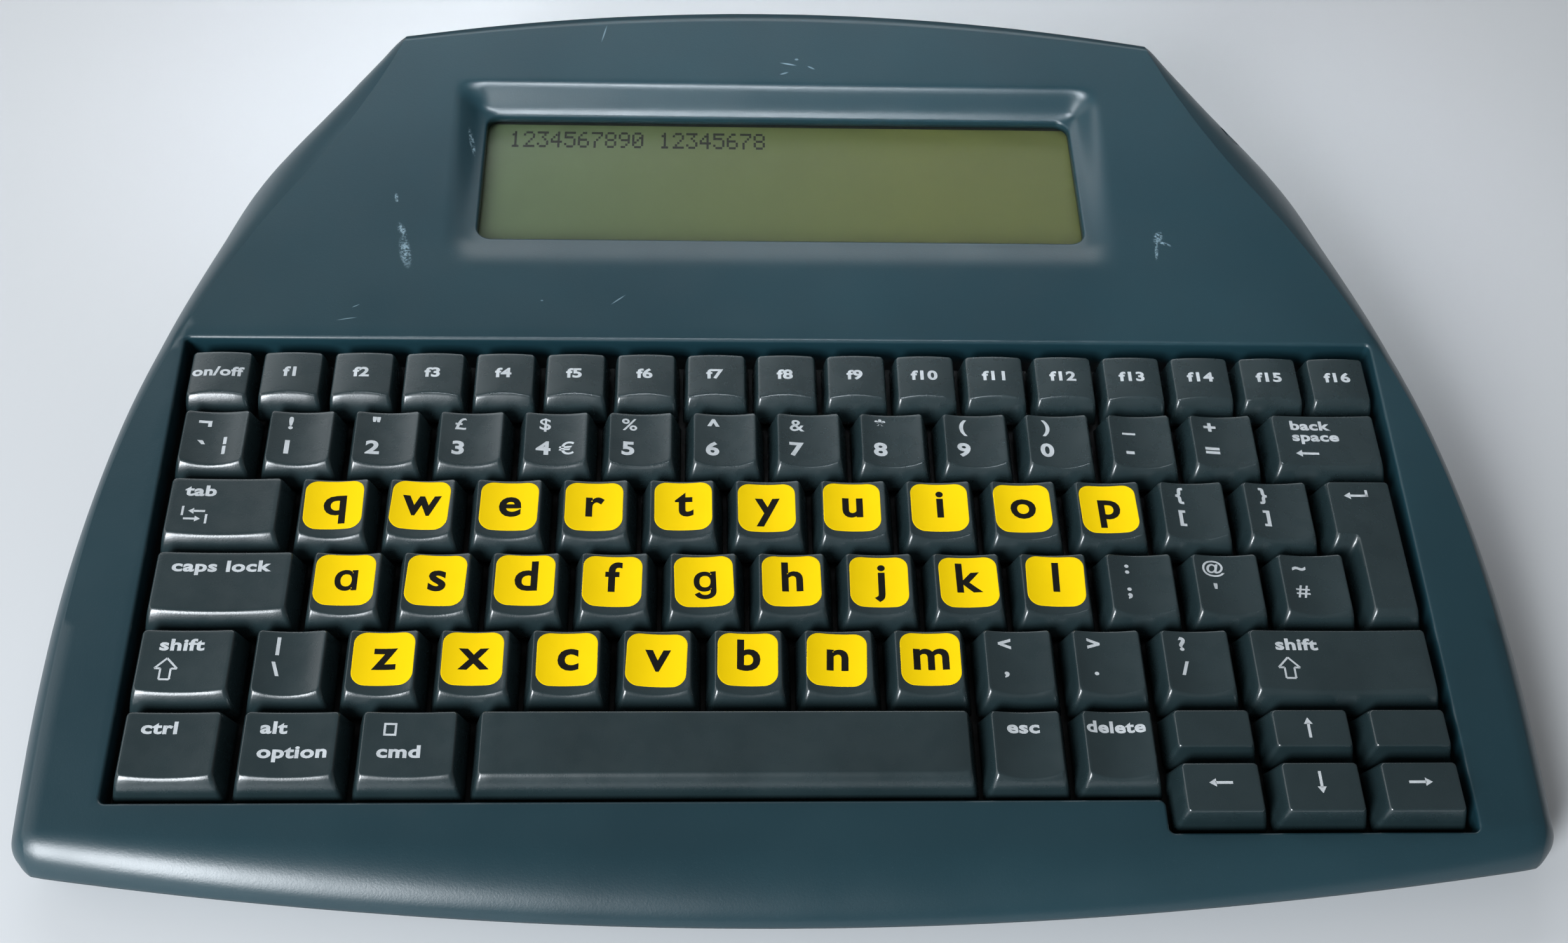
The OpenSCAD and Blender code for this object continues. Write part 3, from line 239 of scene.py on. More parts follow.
def round_loop(points, radius, seg=6, step=3.0, least=1):
    """A counter-clockwise polygon with rounded corners: its points, their outward normals,
    and for each point its corner and its share of the way to the next corner. On an arc
    P = C + r (cos t, sin t), C = B - r (n1 + n2), with r below 0 at an inner corner."""
    pts = np.array(points, float)
    n = len(pts)
    radii = np.broadcast_to(radius, n)
    heading = np.roll(pts, -1, 0) - pts
    heading /= np.linalg.norm(heading, axis=1)[:, None]
    normal = np.column_stack([heading[:, 1], -heading[:, 0]])
    out = []
    for i in range(n):
        j = (i + 1) % n
        d1, d2, n1, n2 = heading[i - 1], heading[i], normal[i - 1], normal[i]
        r = math.copysign(radii[i], d1[0] * d2[1] - d1[1] * d2[0])
        centre = pts[i] - r * (n1 + n2)
        a1 = math.atan2(n1[1], n1[0])
        da = (math.atan2(n2[1], n2[0]) - a1 + math.pi) % (2 * math.pi) - math.pi
        for k in range(seg + 1):
            u = np.array([math.cos(a1 + da * k / seg), math.sin(a1 + da * k / seg)])
            out.append((centre + r * u, u, i, 0.0))
        start, end = pts[i] + d2 * radii[i], pts[j] - d2 * radii[j]
        m = max(least, int(round(np.linalg.norm(end - start) / step)))
        out += [(start + (end - start) * k / m, n2, i, k / m) for k in range(1, m)]
    return [np.array(column) for column in zip(*out)]


def tilted(v, slope, back, up):
    """A tilted plane's own points to the frame: turned about X, then moved."""
    v = np.asarray(v, float)
    c, s = math.cos(slope), math.sin(slope)
    return np.stack([v[..., 0], back + v[..., 1] * c - v[..., 2] * s,
                     up + v[..., 1] * s + v[..., 2] * c], -1)


def on_keys(v):
    return tilted(v, KEY_SLOPE, -KEY_BACK, KEY_Z)


def on_window(v):
    return tilted(v, math.radians(WIN_SLOPE), WIN_Y, WIN_Z)


def lin(r, g, b):
    """A screen colour, 0 to 255, as linear light."""
    return tuple((c / 255 / 12.92 if c / 255 <= 0.04045 else ((c / 255 + 0.055) / 1.055) ** 2.4)
                 for c in (r, g, b)) + (1.0,)


class Nodes:
    """A material's node tree, with every pattern on Object coordinates."""

    def __init__(self, name):
        self.mat = bpy.data.materials.new(name)
        self.mat.use_nodes = True
        self.t = self.mat.node_tree
        self.bsdf = self.t.nodes["Principled BSDF"]
        self.co = self.t.nodes.new("ShaderNodeTexCoord").outputs["Object"]

    def put(self, **k):
        for a, b in k.items():
            self.bsdf.inputs[a.replace("_", " ")].default_value = b
        return self

    def link(self, a, b):
        self.t.links.new(a, b)

    def noise(self, scale, detail=2.0, rough=0.5):
        n = self.t.nodes.new("ShaderNodeTexNoise")
        n.inputs["Scale"].default_value = scale
        n.inputs["Detail"].default_value = detail
        n.inputs["Roughness"].default_value = rough
        self.link(self.co, n.inputs["Vector"])
        return n.outputs["Fac"]

    def ramp(self, fac, stops):
        n = self.t.nodes.new("ShaderNodeValToRGB")
        e = n.color_ramp.elements
        while len(e) < len(stops):
            e.new(0.5)
        for i, (p, c) in enumerate(stops):
            e[i].position = p
            e[i].color = c if hasattr(c, "__len__") else (c, c, c, 1)
        self.link(fac, n.inputs["Fac"])
        return n.outputs["Color"]

    def math(self, op, a, b=0.0):
        n = self.t.nodes.new("ShaderNodeMath")
        n.operation = op
        for i, v in enumerate((a, b)):
            if isinstance(v, (int, float)):
                n.inputs[i].default_value = v
            else:
                self.link(v, n.inputs[i])
        return n.outputs[0]

    def mix(self, fac, a, b):
        n = self.t.nodes.new("ShaderNodeMix")
        n.data_type = "RGBA"
        for s, v in ((n.inputs[0], fac), (n.inputs[6], a), (n.inputs[7], b)):
            if hasattr(v, "is_linked"):
                self.link(v, s)
            else:
                s.default_value = v
        return n.outputs[2]

    def bump(self, height, dist, strength=1.0, under=None):
        n = self.t.nodes.new("ShaderNodeBump")
        n.inputs["Distance"].default_value = dist
        n.inputs["Strength"].default_value = strength
        self.link(height, n.inputs["Height"])
        if under is not None:
            self.link(under, n.inputs["Normal"])
        self.link(n.outputs[0], self.bsdf.inputs["Normal"])
        return n.outputs[0]

    def spot(self, x, y, rx, ry, turn=0.0):
        """1 at a place on the deck, falling to 0 at its rim: an ellipse in plan, in mm."""
        m = self.t.nodes.new("ShaderNodeMapping")
        m.vector_type = "TEXTURE"
        m.inputs["Location"].default_value = (x / 1000, y / 1000, 0)
        m.inputs["Rotation"].default_value = (0, 0, turn)
        m.inputs["Scale"].default_value = (rx / 1000, ry / 1000, 1)
        self.link(self.co, m.inputs["Vector"])
        g = self.t.nodes.new("ShaderNodeTexGradient")
        g.gradient_type = "SPHERICAL"
        self.link(m.outputs[0], g.inputs["Vector"])
        return g.outputs["Fac"]


def case_material():
    m = Nodes("case_teal")
    m.put(Roughness=0.33, IOR=1.5, Specular_IOR_Level=0.6)
    cloud = m.noise(22, 4)
    base = m.mix(m.ramp(cloud, [(0.3, 0.0), (0.7, 1.0)]), lin(20, 47, 55), lin(25, 53, 61))
    fleck = m.ramp(m.noise(2600, 2, 0.7), [(0.66, 0.0), (0.8, 1.0)])
    base = m.mix(m.math("MULTIPLY", fleck, 0.10), base, lin(120, 140, 150))
    # whitish rub marks, broken up by a grain, and fine scratches
    grain = m.ramp(m.noise(1500, 3, 0.7), [(0.45, 0.0), (0.6, 1.0)])
    for places, share, breaks in ((RUBS, 0.75, grain), (SCRATCHES, 0.55, None)):
        mark = None
        for x, y, rx, ry, turn in places:
            spot = m.ramp(m.spot(x, y, rx, ry, turn), [(0.0, 0.0), (0.5, 1.0)])
            mark = spot if mark is None else m.math("MAXIMUM", mark, spot)
        if breaks is not None:
            mark = m.math("MULTIPLY", mark, breaks)
        base = m.mix(m.math("MULTIPLY", mark, share), base, lin(132, 156, 166))
    m.link(base, m.bsdf.inputs["Base Color"])
    m.link(m.ramp(m.noise(60, 4), [(0.3, 0.32), (0.75, 0.37)]), m.bsdf.inputs["Roughness"])
    coarse = m.bump(m.noise(700, 3, 0.6), 0.00004, 0.30)
    m.bump(m.noise(2400, 2, 0.6), 0.00003, 0.55, under=coarse)
    return m.mat


def key_material():
    m = Nodes("key_grey")
    m.put(Roughness=0.28, IOR=1.5, Specular_IOR_Level=0.9)
    base = m.mix(m.ramp(m.noise(70, 3), [(0.35, 0.0), (0.65, 1.0)]), lin(28, 42, 45), lin(33, 47, 50))
    fleck = m.ramp(m.noise(3200, 2, 0.7), [(0.68, 0.0), (0.82, 1.0)])
    base = m.mix(m.math("MULTIPLY", fleck, 0.08), base, lin(120, 140, 145))
    m.link(base, m.bsdf.inputs["Base Color"])
    m.link(m.ramp(m.noise(220, 4), [(0.3, 0.25), (0.75, 0.31)]), m.bsdf.inputs["Roughness"])
    m.bump(m.noise(2800, 2, 0.6), 0.00003, 0.5)
    return m.mat


def plain(name, rgb, rough, scale=900, bump=0.00001, strength=0.3, spread=6, metal=0.0, **k):
    """One colour with a slow drift in colour and roughness, and a fine grain."""
    m = Nodes(name)
    m.put(Roughness=rough, Metallic=metal, **k)
    hi = lin(*[min(255, c + spread) for c in rgb])
    lo = lin(*[max(0, c - spread) for c in rgb])
    m.link(m.mix(m.ramp(m.noise(scale * 0.15, 3), [(0.3, 0.0), (0.7, 1.0)]), lo, hi),
           m.bsdf.inputs["Base Color"])
    m.link(m.ramp(m.noise(scale * 0.4, 3), [(0.3, max(0.03, rough - 0.05)), (0.7, rough + 0.05)]),
           m.bsdf.inputs["Roughness"])
    m.bump(m.noise(scale, 3), bump, strength)
    return m.mat


def lcd_material():
    m = Nodes("display_olive")
    m.put(Roughness=0.35, IOR=1.5)
    sep = m.t.nodes.new("ShaderNodeSeparateXYZ")
    m.link(m.co, sep.inputs[0])
    across = m.math("ADD", m.math("MULTIPLY", sep.outputs[0], 1 / (WIN_W / 1000)), 0.5)
    base = m.ramp(across, [(0.0, lin(89, 107, 74)), (0.35, lin(92, 104, 62)),
                           (0.75, lin(98, 104, 52)), (1.0, lin(97, 103, 54))])
    mottled = m.ramp(m.noise(260, 4, 0.7), [(0.35, 0.0), (0.7, 1.0)])
    base = m.mix(m.math("MULTIPLY", mottled, 0.16), base, lin(84, 96, 58))
    # the cell grid of the glass, very faint
    cells = [m.math("FRACT", m.math("MULTIPLY", sep.outputs[o], 1000 / LCD_CELL)) for o in (0, 1)]
    grid = m.math("MAXIMUM", *[m.math("LESS_THAN", w, 0.14) for w in cells])
    base = m.mix(m.math("MULTIPLY", grid, 0.10), base, lin(70, 84, 52))
    m.link(base, m.bsdf.inputs["Base Color"])
    m.link(m.ramp(m.noise(120, 3), [(0.3, 0.32), (0.7, 0.42)]), m.bsdf.inputs["Roughness"])
    return m.mat


def glass_material():
    m = Nodes("clear_cover")
    m.put(Roughness=0.12, IOR=1.5, Alpha=0.14)
    m.link(m.mix(m.noise(400, 3), lin(40, 46, 44), lin(60, 66, 60)), m.bsdf.inputs["Base Color"])
    m.bump(m.noise(60, 2), 0.00002, 0.2)
    m.mat.blend_method = "BLEND"
    return m.mat


LCD_CELL = 0.38
# wear on the deck: place, half length, half width and turn of each mark
RUBS = [(-90.6, 39.8, 5.2, 1.5, -1.35), (-91.9, 46.1, 2.7, 1.0, -1.16),
        (-94.0, 55.7, 1.8, 0.5, -1.44), (-77.3, 75.7, 4.6, 0.7, -1.36),
        (92.0, 46.0, 2.2, 1.2, -1.93), (91.2, 42.2, 3.4, 0.5, -1.69), (93.4, 44.2, 2.0, 0.5, -0.39)]
SCRATCHES = [(-45.2, 109.0, 3.2, 0.22, -1.79), (4.5, 101.2, 0.6, 0.4, 0.02),
             (2.3, 99.6, 2.4, 0.3, -0.19), (8.2, 98.5, 1.2, 0.3, -0.52),
             (1.2, 96.5, 1.3, 0.3, 0.33), (-102.6, 20.7, 2.6, 0.16, 0.18),
             (-100.8, 24.3, 1.1, 0.14, 0.48), (-39.4, 26.6, 2.4, 0.2, 0.68),
             (-57.4, 26.2, 0.4, 0.25, 0.0)]
CASE = case_material()
KEYS = key_material()
STICKER = plain("sticker_yellow", (238, 200, 0), 0.6, 700, 0.00001, 0.2, 2, Specular_IOR_Level=0.1)
INK = plain("legend_ink", (182, 187, 190), 0.55, 2500, 0.00001, 0.4, 10)
BLACK_INK = plain("black_ink", (13, 12, 9), 0.6, 2500, 0.00001, 0.3, 4, Specular_IOR_Level=0.15)
LCD_INK = plain("display_ink", (14, 15, 8), 0.5, 2500, 0.00001, 0.2, 3)
DARK = plain("black_plastic", (14, 15, 16), 0.55, 1500, 0.00002, 0.4, 3)
STEEL = plain("plated_steel", (176, 178, 182), 0.32, 500, 0.00001, 0.3, 8, 1.0)
RUBBER = plain("foot_rubber", (22, 22, 22), 0.8, 1800, 0.00003, 0.6, 4)
BOARD = plain("board_green", (26, 86, 52), 0.45, 800, 0.00001, 0.3, 8)
FILM = plain("film_amber", (196, 178, 118), 0.35, 300, 0.00001, 0.2, 8)
SLEEVE = plain("cell_sleeve", (52, 54, 60), 0.35, 300, 0.00001, 0.2, 10, 0.5)
RED = plain("button_red", (128, 26, 22), 0.4, 1200, 0.00001, 0.2, 6)
IR = plain("dark_window", (26, 6, 10), 0.12, 300, 0.00001, 0.1, 2)
SCREW = plain("screw_zinc", (120, 122, 126), 0.38, 900, 0.00001, 0.3, 10, 1.0)
LCD = lcd_material()
GLASS = glass_material()
FRAME_DARK = plain("frame_black", (20, 22, 24), 0.6, 1500, 0.00002, 0.4, 4)

# The case top: well, window, ports and lock slot are cut out of the surface over (p, q).
# Ports in the rear edge: place across, width and height. All stand on one level.
PORTS = [(-48.0, 12.0, 11.0), (-20.0, 13.2, 5.8), (14.0, 9.2, 11.0), (46.0, 16.0, 8.0)]
PORT_Z, PORT_GAP, PORT_R, PORT_DEEP, PORT_OVER_SEAM = 23.1, 0.35, 0.5, 2.4, 0.45
LOCK_Y, LOCK_Z, LOCK_W, LOCK_H, LOCK_R, LOCK_DEEP = 88.0, 37.0, 7.0, 3.2, 1.2, 3.0
LOCK_OUT = np.array([math.cos(math.radians(30)), math.sin(math.radians(30))])
WELL_R, NOTCH_R, WELL_EDGE, WELL_FOOT, WIN_EDGE, FLANGE = 1.2, 1.6, 0.75, 10.5, 0.7, 1.4
# rows down the walls: shares of the well's wall, depths of the window's, ways in of the lip
WELL_WALL, WIN_WALL, SEAM_LIP = (0.15, 0.5, 1.0), (0.6, 1.7), (0.08, 0.5, 2.2)
# the net: lines over the deck and over each roll, the finer spacing, and the room it leaves
NET_P, NET_Q, NET_ROLL, NET_REAR, FINE_P, FINE_Q = 111, 84, 15, 11, 1.0, 0.8
WELL_ROOM, WIN_ROOM, CUT_ROOM, CREASE_FADE_Y = 0.6, 0.45, 0.5, -60


def top_height(x, y):
    return case_surface(*case_param(x, y))[..., 2]


def hole_rows(loop, nor, r, seg=5):
    """Rows of points over a hole's rounded edge, from its outer line inwards: row k is
    B + n r (1 - sin a) at height H - r (1 - cos a), with a from 0 to a right angle."""
    rows = []
    for k in range(seg + 1):
        a = math.pi / 2 * k / seg
        at = loop + nor * r * (1 - math.sin(a))
        rows.append(np.column_stack([at, top_height(at[:, 0], at[:, 1]) - r * (1 - math.cos(a))]))
    return rows


def well_plan(loop):
    """Key plane to plan: a point follows the well's wall, square to the key plane, up to
    the deck: y = y0 - h sin(slope), with h the wall's height over the key plane."""
    c, s = math.cos(KEY_SLOPE), math.sin(KEY_SLOPE)
    y0 = -KEY_BACK + loop[:, 1] * c
    y = y0
    for _ in range(4):
        y = y0 - (top_height(loop[:, 0], y) - KEY_Z - loop[:, 1] * s) / c * s
    return np.column_stack([loop[:, 0], y])


def well_rows():
    """The well's edge and wall down past the key plane, and an outward flange."""
    corners = [(-WELL_X, WELL_FRONT_Y), (NOTCH_X, WELL_FRONT_Y), (NOTCH_X, NOTCH_Y),
               (WELL_X, NOTCH_Y), (WELL_X, WELL_REAR_Y), (-WELL_X, WELL_REAR_Y)]
    loop, nor = round_loop(corners, [WELL_R, NOTCH_R, WELL_R, WELL_R, WELL_R, WELL_R], 6, 2.0)[:2]
    rows = hole_rows(well_plan(loop), nor, WELL_EDGE)
    last = rows[-1]
    lean = math.tan(KEY_SLOPE)
    drop = last[:, 2] - (KEY_Z - WELL_FOOT / math.cos(KEY_SLOPE) + (last[:, 1] + KEY_BACK) * lean)
    for f in WELL_WALL:
        rows.append(last + np.stack([0 * drop, drop * f * lean, -drop * f], -1))
    return rows + [rows[-1] + np.column_stack([nor * FLANGE, 0 * drop])]


def window_rows():
    """The window's edge and wall down to the clear cover, and an outward flange."""
    half = WIN_W / 2
    loop, nor = round_loop(box_loop(-half, 0, half, WIN_D), WIN_R, 10, 2.0)[:2]
    plan = np.column_stack([loop[:, 0], WIN_Y + loop[:, 1] * math.cos(math.radians(WIN_SLOPE))])
    rows = hole_rows(plan, nor, WIN_EDGE)
    last = rows[-1]
    for f in WIN_WALL:
        rows.append(last + np.array([0, f * tand(WIN_SLOPE), -f]))
    return rows + [rows[-1] + np.column_stack([nor * FLANGE, 0 * nor[:, 0]])]


def port_loop(x, w, h):
    """A port's mouth in (p, q): p is x, and q is found from the height by halving."""
    low = float(seam_at(REAR_Y - REAR_SAG * (x / REAR_CORNER_X) ** 2)) + PORT_OVER_SEAM
    half = w / 2 + PORT_GAP
    want = round_loop(box_loop(x - half, low, x + half, PORT_Z + h + PORT_GAP), PORT_R, 4, 0.8)[0]
    lo, hi = np.full(len(want), Q_REAR - 6.0), np.full(len(want), Q_MAX)
    for _ in range(40):
        mid = (lo + hi) / 2
        high = case_surface(want[:, 0], mid)[:, 2] > want[:, 1]
        lo, hi = np.where(high, mid, lo), np.where(high, hi, mid)
    return np.column_stack([want[:, 0], (lo + hi) / 2])[::-1]


def lock_loop():
    """The lock slot's mouth in (p, q), by Newton's steps: each solves J d = e for the miss
    e in the slot's upright plane, with J from steps of a ten-thousandth."""
    along = np.array([-LOCK_OUT[1], LOCK_OUT[0]])
    slot = round_loop(box_loop(-LOCK_W / 2, -LOCK_H / 2, LOCK_W / 2, LOCK_H / 2), LOCK_R, 5, 0.6)[0]
    start = np.array([float(half_w(LOCK_Y)), LOCK_Y])
    pq = np.tile([CREASE_FRONT + 9.0, LOCK_Y], (len(slot), 1))
    tiny = 1e-4

    def miss(t):
        v = case_surface(t[:, 0], t[:, 1])
        return np.column_stack([(v[:, :2] - start) @ along, v[:, 2] - LOCK_Z]) - slot

    for _ in range(30):
        e = miss(pq)
        j1, j2 = ((miss(pq + np.array(d)) - e) / tiny for d in ((tiny, 0), (0, tiny)))
        det = j1[:, 0] * j2[:, 1] - j2[:, 0] * j1[:, 1]
        step = np.column_stack([(e[:, 0] * j2[:, 1] - j2[:, 0] * e[:, 1]) / det,
                                (j1[:, 0] * e[:, 1] - e[:, 0] * j1[:, 1]) / det])
        pq = pq - np.clip(step, -2, 2)
        pq[:, 0] = np.clip(pq[:, 0], CREASE_FRONT + 0.2, P_MAX - 0.2)
    return pq


def net_lines():
    """The lines of the even net over (p, q), closer together over the rolled edges."""
    ps = np.concatenate([-np.linspace(P_MAX, CREASE_FRONT, NET_ROLL)[:-1],
                         np.linspace(-CREASE_FRONT, CREASE_FRONT, NET_P),
                         np.linspace(CREASE_FRONT, P_MAX, NET_ROLL)[1:]])
    qs = np.concatenate([np.linspace(Q_MIN, Q_FRONT, NET_ROLL)[:-1],
                         np.linspace(Q_FRONT, Q_REAR, NET_Q),
                         np.linspace(Q_REAR, Q_MAX, NET_REAR)[1:]])
    return ps, qs


def inner_points(ps, qs, cuts):
    """Net points off the border: the even net, with a finer one in its place round the
    display's recess, and none in a hole or right beside its edge."""
    p, q = np.meshgrid(ps[1:-1], qs[1:-1])
    y0, y1 = WIN_Y - SCOOP_FRONT - 1, CREST_Y + 1
    fp, fq = np.meshgrid(np.arange(-FIXED - 1, FIXED + 1.1, FINE_P), np.arange(y0, y1, FINE_Q))
    keep = (np.abs(fp) > WIN_W / 2 - 6) | (fq < WIN_Y + 4) | (fq > WIN_REAR_Y - 4)
    pts = np.concatenate([np.column_stack([p.ravel(), q.ravel()]), np.column_stack([fp[keep], fq[keep]])])
    even = np.arange(len(pts)) < p.size
    gone = (even & (np.abs(pts[:, 0]) < FIXED + 0.9)
            & (pts[:, 1] > y0 + 0.1) & (pts[:, 1] < y1 - 0.1))
    x, y = case_surface(pts[:, 0], pts[:, 1])[:, :2].T
    v = (y + KEY_BACK) / math.cos(KEY_SLOPE)
    g = WELL_EDGE + WELL_ROOM
    gone |= ((np.abs(x) < WELL_X + g) & (v < WELL_REAR_Y + g + 0.4)
             & (v > np.where(x > NOTCH_X - g, NOTCH_Y, WELL_FRONT_Y) - g))
    g = WIN_EDGE + WIN_ROOM
    gone |= (np.abs(x) < WIN_W / 2 + g) & (y > WIN_Y - g) & (y < WIN_REAR_Y + g)
    for loop, _ in cuts:
        gone |= ((pts > loop.min(0) - CUT_ROOM) & (pts < loop.max(0) + CUT_ROOM)).all(1)
    return pts[~gone]


def triangulate(border, rims, inner):
    """The net as triangles, with the border and the rims as fixed lines. Returns the points,
    the triangles off the holes, and the vertices of the border and of each rim."""
    pts, edges, starts = [], [], []
    for loop in [border] + rims:
        n, o = len(loop), len(pts)
        starts.append(range(o, o + n))
        pts.extend(map(tuple, loop))
        edges.extend((o + i, o + (i + 1) % n) for i in range(n))
    pts.extend(map(tuple, inner))
    out = delaunay_2d_cdt([Vector(p) for p in pts], edges, [], 0, 1e-6)
    flat, tris = np.array([tuple(v) for v in out[0]]), np.array(out[2])
    number = {k: i for i, sources in enumerate(out[3]) for k in sources}
    loops = [[number[i] for i in r] for r in starts]
    mid = flat[tris].mean(1)
    inside = np.zeros(len(tris), bool)
    for ids in loops[1:]:
        x1, y1 = flat[ids].T
        x2, y2 = np.roll(x1, -1), np.roll(y1, -1)
        for t in np.where(np.isin(tris, ids).all(1))[0]:
            x, y = mid[t]
            cross = ((y1 > y) != (y2 > y)) & (x < (x2 - x1) * (y - y1) / (y2 - y1 + 1e-12) + x1)
            inside[t] = cross.sum() % 2 == 1
    return flat, tris[~inside], loops[0], loops[1:]


def hang_rows(verts, faces, prev, rows, inward=False):
    """Hangs rows of points on a closed row of vertices, with quads between the rows."""
    n = len(prev)
    for row in rows:
        cur = list(range(len(verts), len(verts) + n))
        verts.extend(row)
        for i in range(n):
            j = (i + 1) % n
            a, b = (j, i) if inward else (i, j)
            faces.append((prev[a], prev[b], cur[b], cur[a]))
        prev = cur


def build_top():
    """Case top: a dense net over (p, q), cut by the well, the window, the ports and the
    lock slot, with rounded edges, walls down the holes, and a flat lip along the seam."""
    holes = [well_rows(), window_rows()]
    cuts = [(port_loop(*port), np.array([0, PORT_DEEP, 0])) for port in PORTS]
    cuts.append((lock_loop(), np.append(LOCK_OUT, 0) * LOCK_DEEP))
    cuts = [(loop[::-1] if signed_area(loop) < 0 else loop, deep) for loop, deep in cuts]
    ps, qs = net_lines()
    border = ([(p, Q_MIN) for p in ps[:-1]] + [(P_MAX, q) for q in qs[:-1]]
              + [(p, Q_MAX) for p in ps[:0:-1]] + [(-P_MAX, q) for q in qs[:0:-1]])
    rims = [np.column_stack(case_param(rows[0][:, 0], rows[0][:, 1])) for rows in holes]
    rims += [loop for loop, _ in cuts]
    flat, tris, rim, ids = triangulate(border, rims, inner_points(ps, qs, cuts))
    verts = list(case_surface(flat[:, 0], flat[:, 1]))
    faces = [tuple(t) for t in tris]
    for rows, own in zip(holes, ids):
        hang_rows(verts, faces, own, rows[1:])
    mouths = ids[len(holes):]
    for (_, deep), own in zip(cuts, mouths):
        hang_rows(verts, faces, own, [np.array([verts[i] for i in own]) - deep])
    edge = np.array([verts[i] for i in rim])
    tang = np.roll(edge[:, :2], -1, 0) - np.roll(edge[:, :2], 1, 0)
    nor = np.column_stack([tang[:, 1], -tang[:, 0]]) / np.linalg.norm(tang, axis=1)[:, None]
    lip = [edge - np.column_stack([nor * d, 0 * nor[:, 0]]) for d in SEAM_LIP]
    hang_rows(verts, faces, rim, lip, inward=True)
    me = make("case_top", verts, faces, "case", CASE, ["top_case"]).data
    # the crease between deck and flank, and the mouths of ports and slot, stay crisp
    crease = {i for i, v in enumerate(flat)
              if abs(abs(v[0]) - CREASE_FRONT) < 1e-4 and v[1] > CREASE_FADE_Y}
    lines = {i for own in mouths for i in own}
    sharp = [any(a in s and b in s for s in (crease, lines)) for a, b in (e.vertices for e in me.edges)]
    me.attributes.new("sharp_edge", "BOOLEAN", "EDGE").data.foreach_set("value", sharp)


build_top()


# Keycaps and their prints, in the key plane. A row of a cap is one closed ring of points.
CAP_R, CAP_STEP, CAP_SEG, FRONT_ROLLED, LIP_RISE = 1.0, 2.2, 5, 0.9, 0.35
SKIRT_EDGE, CEILING, STEM, STEM_END, STEM_TOP = 0.25, 2.2, 1.7, -11.4, -2.4
# the top's edge: how far its roundings reach down the side and in over the top
EDGE_DOWN, EDGE_FRONT, EDGE_SIDE, EDGE_IN, EDGE_IN_FRONT = 1.0, 0.45, 0.8, 0.45, 0.1
# rows up the side and in over the top, as shares; the steps in which prints are cut to bend
SIDE_ROWS, TOP_ROWS = (0.2, 0.4, 0.6, 0.8), (0.93, 0.82, 0.66, 0.48, 0.3, 0.13)
LEGEND_CUT, LETTER_CUT = (0.9, 2.5), (0.8, 2.0)
BOLD, FINE_BOLD, LETTER_BOLD, INK_LIFT, LETTER_LIFT = 0.036, 0.012, 0.024, 0.018, 0.015
# signs whose small openings a bold stroke would fill
FINE_SIGNS = ("$", "€", "&", "@", "%", "#", "£")
# the stickers' a and g are plain bowls with a straight stem: character and digit height
ROUND_LETTERS = {"a": ("ɑ", 5.9), "g": ("ɡ", 5.9)}
LETTER_H, LETTER_WIDE, LETTER_X, LETTER_Y = 7.0, 1.08, 0.2, -2.3
STICKER_W, STICKER_D, STICKER_R = 12.7, 12.4, 2.8
STICKER_LIFT, STICKER_RIM, STICKER_HANG, STICKER_CURL = 0.06, 0.02, 0.55, 0.04
STICKER_ROWS = (1.0, 0.985, 0.965, 0.945, 0.92, 0.89, 0.84, 0.76, 0.62, 0.45, 0.28, 0.12)
LEFT, MIDDLE = 0, 1


